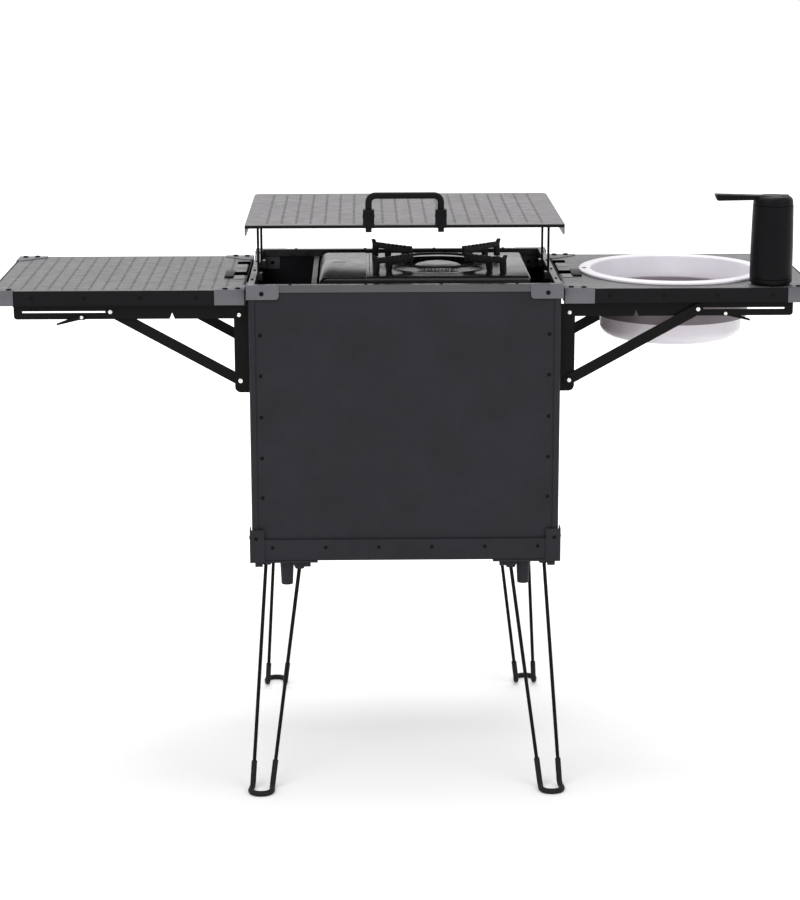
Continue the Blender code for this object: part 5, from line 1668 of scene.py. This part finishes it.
    def build_knob(self) -> None:
        """Knob with a rounded dial and a raised grip."""
        low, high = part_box("stove_knob")
        axis_x, axis_z = (low.x + high.x) / 2, (low.z + high.z) / 2
        radius = (high.x - low.x) / 2
        knob = Shape()
        profile = rounded(
            [
                (0, 0, 0),
                (radius, 0, 0.0006),
                (radius - 0.0004, 0.0078, 0.002),
                (radius - 0.006, 0.0078, 0.001),
                (0, 0.007, 0),
            ]
        )
        knob.turned(profile, (axis_x, low.y, axis_z), Facing.REAR.turn(), 72)
        knob.block(
            (axis_x - 0.0038, low.y + 0.004, axis_z - radius + 0.001),
            (axis_x + 0.0038, high.y, axis_z + radius - 0.001),
            0.0022,
            3,
        )
        knob.finish("stove_knob_dial", BLACK_PLASTIC, "knob", ["stove_knob"])


@dataclass
class Legs:
    """Hairpin wire legs with rubber sleeves over their loops."""

    wire: float = 0.003
    sleeve: float = 0.0046
    axis_y: float = 0.174
    stub: float = 0.0175
    top_bend: float = 0.005
    foot_bend: float = 0.010
    foot_reach: float = 0.034
    loop_flare: float = 0.005
    spread: float = 0.0795
    sleeve_length: float = 0.045
    plate_z: float = 0.3712
    cheek_out: float = 0.0068
    cheek_t: float = 0.0018
    cheeks: tuple[tuple[float, float, float], ...] = ((0.1725, 0.0145, 0.0175), (0.2235, 0.0085, 0.0105))
    axis_z: tuple[float, float] = (0.3625, 0.3525)
    top_x: tuple[float, float] = (0.2275, 0.172)
    foot_x: tuple[float, float] = (0.2515, 0.2195)
    rear_out: tuple[float, float] = (-0.0035, -0.0055)

    def build(self) -> None:
        """Models the four legs."""
        for row, (end, sign_y) in enumerate(FRONT_AND_REAR):
            for side, sign_x in LEFT_AND_RIGHT:
                self.build_leg(row, f"leg_{end}_{side}", sign_x, sign_y)
        self.build_brackets()

    def build_brackets(self) -> None:
        """Tapered cheeks in front of the wires' upper ends, under the box's foot plates."""
        cheeks = Shape()
        for _, sign_y in FRONT_AND_REAR:
            face = sign_y * (self.axis_y + self.cheek_out)
            back = sign_y * (self.axis_y + self.cheek_out + self.cheek_t)
            for _, sign_x in LEFT_AND_RIGHT:
                for centre, half, drop in self.cheeks:
                    outline = rounded(
                        [
                            (sign_x * (centre - half), self.plate_z, 0),
                            (sign_x * (centre - half * 0.45), self.plate_z - drop, 0.003),
                            (sign_x * (centre + half * 0.45), self.plate_z - drop, 0.003),
                            (sign_x * (centre + half), self.plate_z, 0),
                        ],
                        4,
                    )
                    cheeks.prism("Y", outline, face, back, 0.0004)
        cheeks.finish("leg_bracket_cheeks", CHARCOAL, "box")

    def build_leg(self, row: int, node: str, sign_x: int, sign_y: int) -> None:
        """One leg: its wire and the sleeve over its loop.

        Args:
            row: 0 for the front legs, 1 for the rear ones.
            node: The solid's and the body's name.
            sign_x: -1 on the left, 1 on the right.
            sign_y: -1 in front, 1 at the rear.
        """
        top_out, foot_out = self.rear_out if row else (0.0, 0.0)
        outer_top, inner_top = (value + top_out for value in self.top_x)
        outer_foot, inner_foot = (value + foot_out for value in self.foot_x)
        y = sign_y * self.axis_y
        z = self.axis_z[row]
        knee = sign_y * (self.axis_y + self.spread)
        tip = knee + sign_y * self.foot_reach
        loop = (outer_foot - inner_foot) / 2 - 0.0003
        corners = [
            (sign_x * (outer_top + self.stub), y, z),
            (sign_x * outer_top, y, z),
            (sign_x * outer_foot, knee, self.sleeve),
            (sign_x * (outer_foot + self.loop_flare), tip, self.sleeve),
            (sign_x * inner_foot, tip, self.sleeve),
            (sign_x * inner_foot, knee, self.sleeve),
            (sign_x * inner_top, y, z),
            (sign_x * (inner_top - self.stub), y, z),
        ]
        radii = [0, self.top_bend, self.foot_bend, loop, loop, self.foot_bend, self.top_bend, 0]
        path = fillet(corners, radii, 8)
        lengths = [0.0]
        for first, second in zip(path, path[1:]):
            lengths.append(lengths[-1] + (second - first).length)
        outer = (Vector(corners[1]) - Vector(corners[2])).length
        inner = (Vector(corners[5]) - Vector(corners[6])).length
        first = self.stub + outer - self.sleeve_length
        last = lengths[-1] - (self.stub + inner - self.sleeve_length)
        sleeve = [point for point, at in zip(path, lengths) if first < at < last]
        start = self.point_at(path, lengths, first)
        end = self.point_at(path, lengths, last)
        wire = Shape()
        wire.bar(path, self.wire)
        wire.finish(f"{node}_wire", BLACK_STEEL, node, [node])
        cover = Shape()
        ends = [start, start.lerp(sleeve[0], 0.02)]
        tail = [end.lerp(sleeve[-1], 0.02), end]
        route = [*ends, *sleeve, *tail]
        shares = [0.78, 1.0, *([1.0] * len(sleeve)), 1.0, 0.78]
        cover.bar(route, self.sleeve, shares)
        cover.finish(f"{node}_sleeve", BLACK_RUBBER, node)

    @staticmethod
    def point_at(path: Sequence[Vector], lengths: Sequence[float], at: float) -> Vector:
        """The point of a path at a length along it.

        Args:
            path: The path's points.
            lengths: The length along the path at each point.
            at: The length wanted.

        Returns:
            The point there.
        """
        for i in range(1, len(path)):
            if lengths[i] >= at:
                share = (at - lengths[i - 1]) / (lengths[i] - lengths[i - 1])
                return path[i - 1].lerp(path[i], share)
        return path[-1]


@dataclass(frozen=True)
class Softbox:
    """An area lamp that faces the object."""

    name: str
    at: Point
    size: float
    power: float


@dataclass
class Studio:
    """Pale floor, soft lamps, white surroundings and the camera at the photograph's angle."""

    camera_at: Point = (-0.07031, -3.83111, 1.43623)
    heading: float = 0.01703
    tilt: float = 0.23764
    roll: float = -0.00201
    focal_pixels: float = 2325.28
    image_height: float = 900.0
    target: Point = (0.0, 0.0, 0.5)
    surround: float = 0.55
    floor_size: float = 30.0
    glow_reach: tuple[float, float] = (0.4, 1.8)
    glow_levels: tuple[float, float] = (0.18, 0.75)
    lamps: tuple[Softbox, ...] = (
        Softbox("key_softbox", (-1.6, -2.8, 3.4), 2.6, 75.0),
        Softbox("fill_softbox", (2.6, -2.4, 2.4), 2.4, 35.0),
        Softbox("overhead_softbox", (0.2, 0.9, 4.4), 2.0, 70.0),
    )

    def build(self) -> None:
        """Sets up the whole studio."""
        self.build_floor()
        self.build_lamps()
        self.build_surroundings()
        self.build_camera()
        bpy.context.scene.view_settings.view_transform = "Standard"

    def build_floor(self) -> None:
        """Plain pale floor."""
        mesh = bmesh.new()
        bmesh.ops.create_grid(mesh, x_segments=1, y_segments=1, size=self.floor_size / 2)
        data = bpy.data.meshes.new("floor")
        mesh.to_mesh(data)
        mesh.free()
        floor = bpy.data.objects.new("floor", data)
        bpy.context.scene.collection.objects.link(floor)
        sheet = NodeSheet("pale floor")
        sheet.shader.inputs["Base Color"].default_value = (0.93, 0.93, 0.93, 1)
        sheet.shader.inputs["Roughness"].default_value = 0.9
        sheet.shader.inputs["Specular IOR Level"].default_value = 0.1
        rays = sheet.tree.nodes.new("ShaderNodeLightPath")
        seen = sheet.math("MAXIMUM", rays.outputs["Is Camera Ray"], rays.outputs["Is Glossy Ray"])
        across, along, _ = sheet.axes()
        squares = sheet.math("ADD", sheet.math("POWER", across, 2), sheet.math("POWER", along, 2))
        reach = sheet.math("SQRT", squares)
        lift = sheet.span(reach, self.glow_reach, self.glow_levels)
        glow = sheet.math("MULTIPLY", seen, lift)
        sheet.shader.inputs["Emission Color"].default_value = (1, 1, 1, 1)
        sheet.feed(sheet.shader.inputs["Emission Strength"], glow)
        data.materials.append(sheet.material)

    def build_lamps(self) -> None:
        """Soft area lamps, each turned to the object."""
        for lamp in self.lamps:
            light = bpy.data.lights.new(lamp.name, "AREA")
            light.size = lamp.size
            light.energy = lamp.power
            body = bpy.data.objects.new(lamp.name, light)
            bpy.context.scene.collection.objects.link(body)
            body.location = lamp.at
            way = Vector(self.target) - Vector(lamp.at)
            body.rotation_euler = way.to_track_quat("-Z", "Y").to_euler()

    def build_surroundings(self) -> None:
        """White world, at full strength where it is seen or reflected."""
        world = bpy.data.worlds.new("white_surroundings")
        world.use_nodes = True
        tree = world.node_tree
        background = tree.nodes["Background"]
        background.inputs["Color"].default_value = (1, 1, 1, 1)
        rays = tree.nodes.new("ShaderNodeLightPath")
        seen = tree.nodes.new("ShaderNodeMath")
        seen.operation = "MAXIMUM"
        tree.links.new(rays.outputs["Is Camera Ray"], seen.inputs[0])
        tree.links.new(rays.outputs["Is Glossy Ray"], seen.inputs[1])
        level = tree.nodes.new("ShaderNodeMapRange")
        level.inputs["To Min"].default_value = self.surround
        level.inputs["To Max"].default_value = 1.0
        tree.links.new(seen.outputs[0], level.inputs["Value"])
        tree.links.new(level.outputs["Result"], background.inputs["Strength"])
        bpy.context.scene.world = world

    def build_camera(self) -> None:
        """Camera at the photograph's place and angle."""
        lens = bpy.data.cameras.new("photo_camera")
        lens.sensor_width = 36.0
        lens.lens = self.focal_pixels * lens.sensor_width / self.image_height
        camera = bpy.data.objects.new("photo_camera", lens)
        bpy.context.scene.collection.objects.link(camera)
        turn = (
            Matrix.Rotation(-self.heading, 4, "Z")
            @ Matrix.Rotation(math.pi / 2 - self.tilt, 4, "X")
            @ Matrix.Rotation(self.roll, 4, "Z")
        )
        camera.location = self.camera_at
        camera.rotation_euler = turn.to_euler()
        bpy.context.scene.camera = camera


def main() -> None:
    """Builds the looks in order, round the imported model."""
    logging.basicConfig(level=logging.INFO, format="%(name)s %(message)s")
    for spare in list(bpy.data.objects):
        bpy.data.objects.remove(spare, do_unlink=True)
    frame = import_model()
    Studio().build()
    BoxBody().build(frame)
    Lid().build(frame)
    Wing("left", -1, rail_rivet_x=(0.331, 0.420, 0.510, 0.5935), front_cap=0.037).build(frame)
    Wing("right", 1).build(frame)
    Basin().build()
    Pump().build()
    Stove().build()
    Legs().build()


if __name__ == "__main__":
    main()
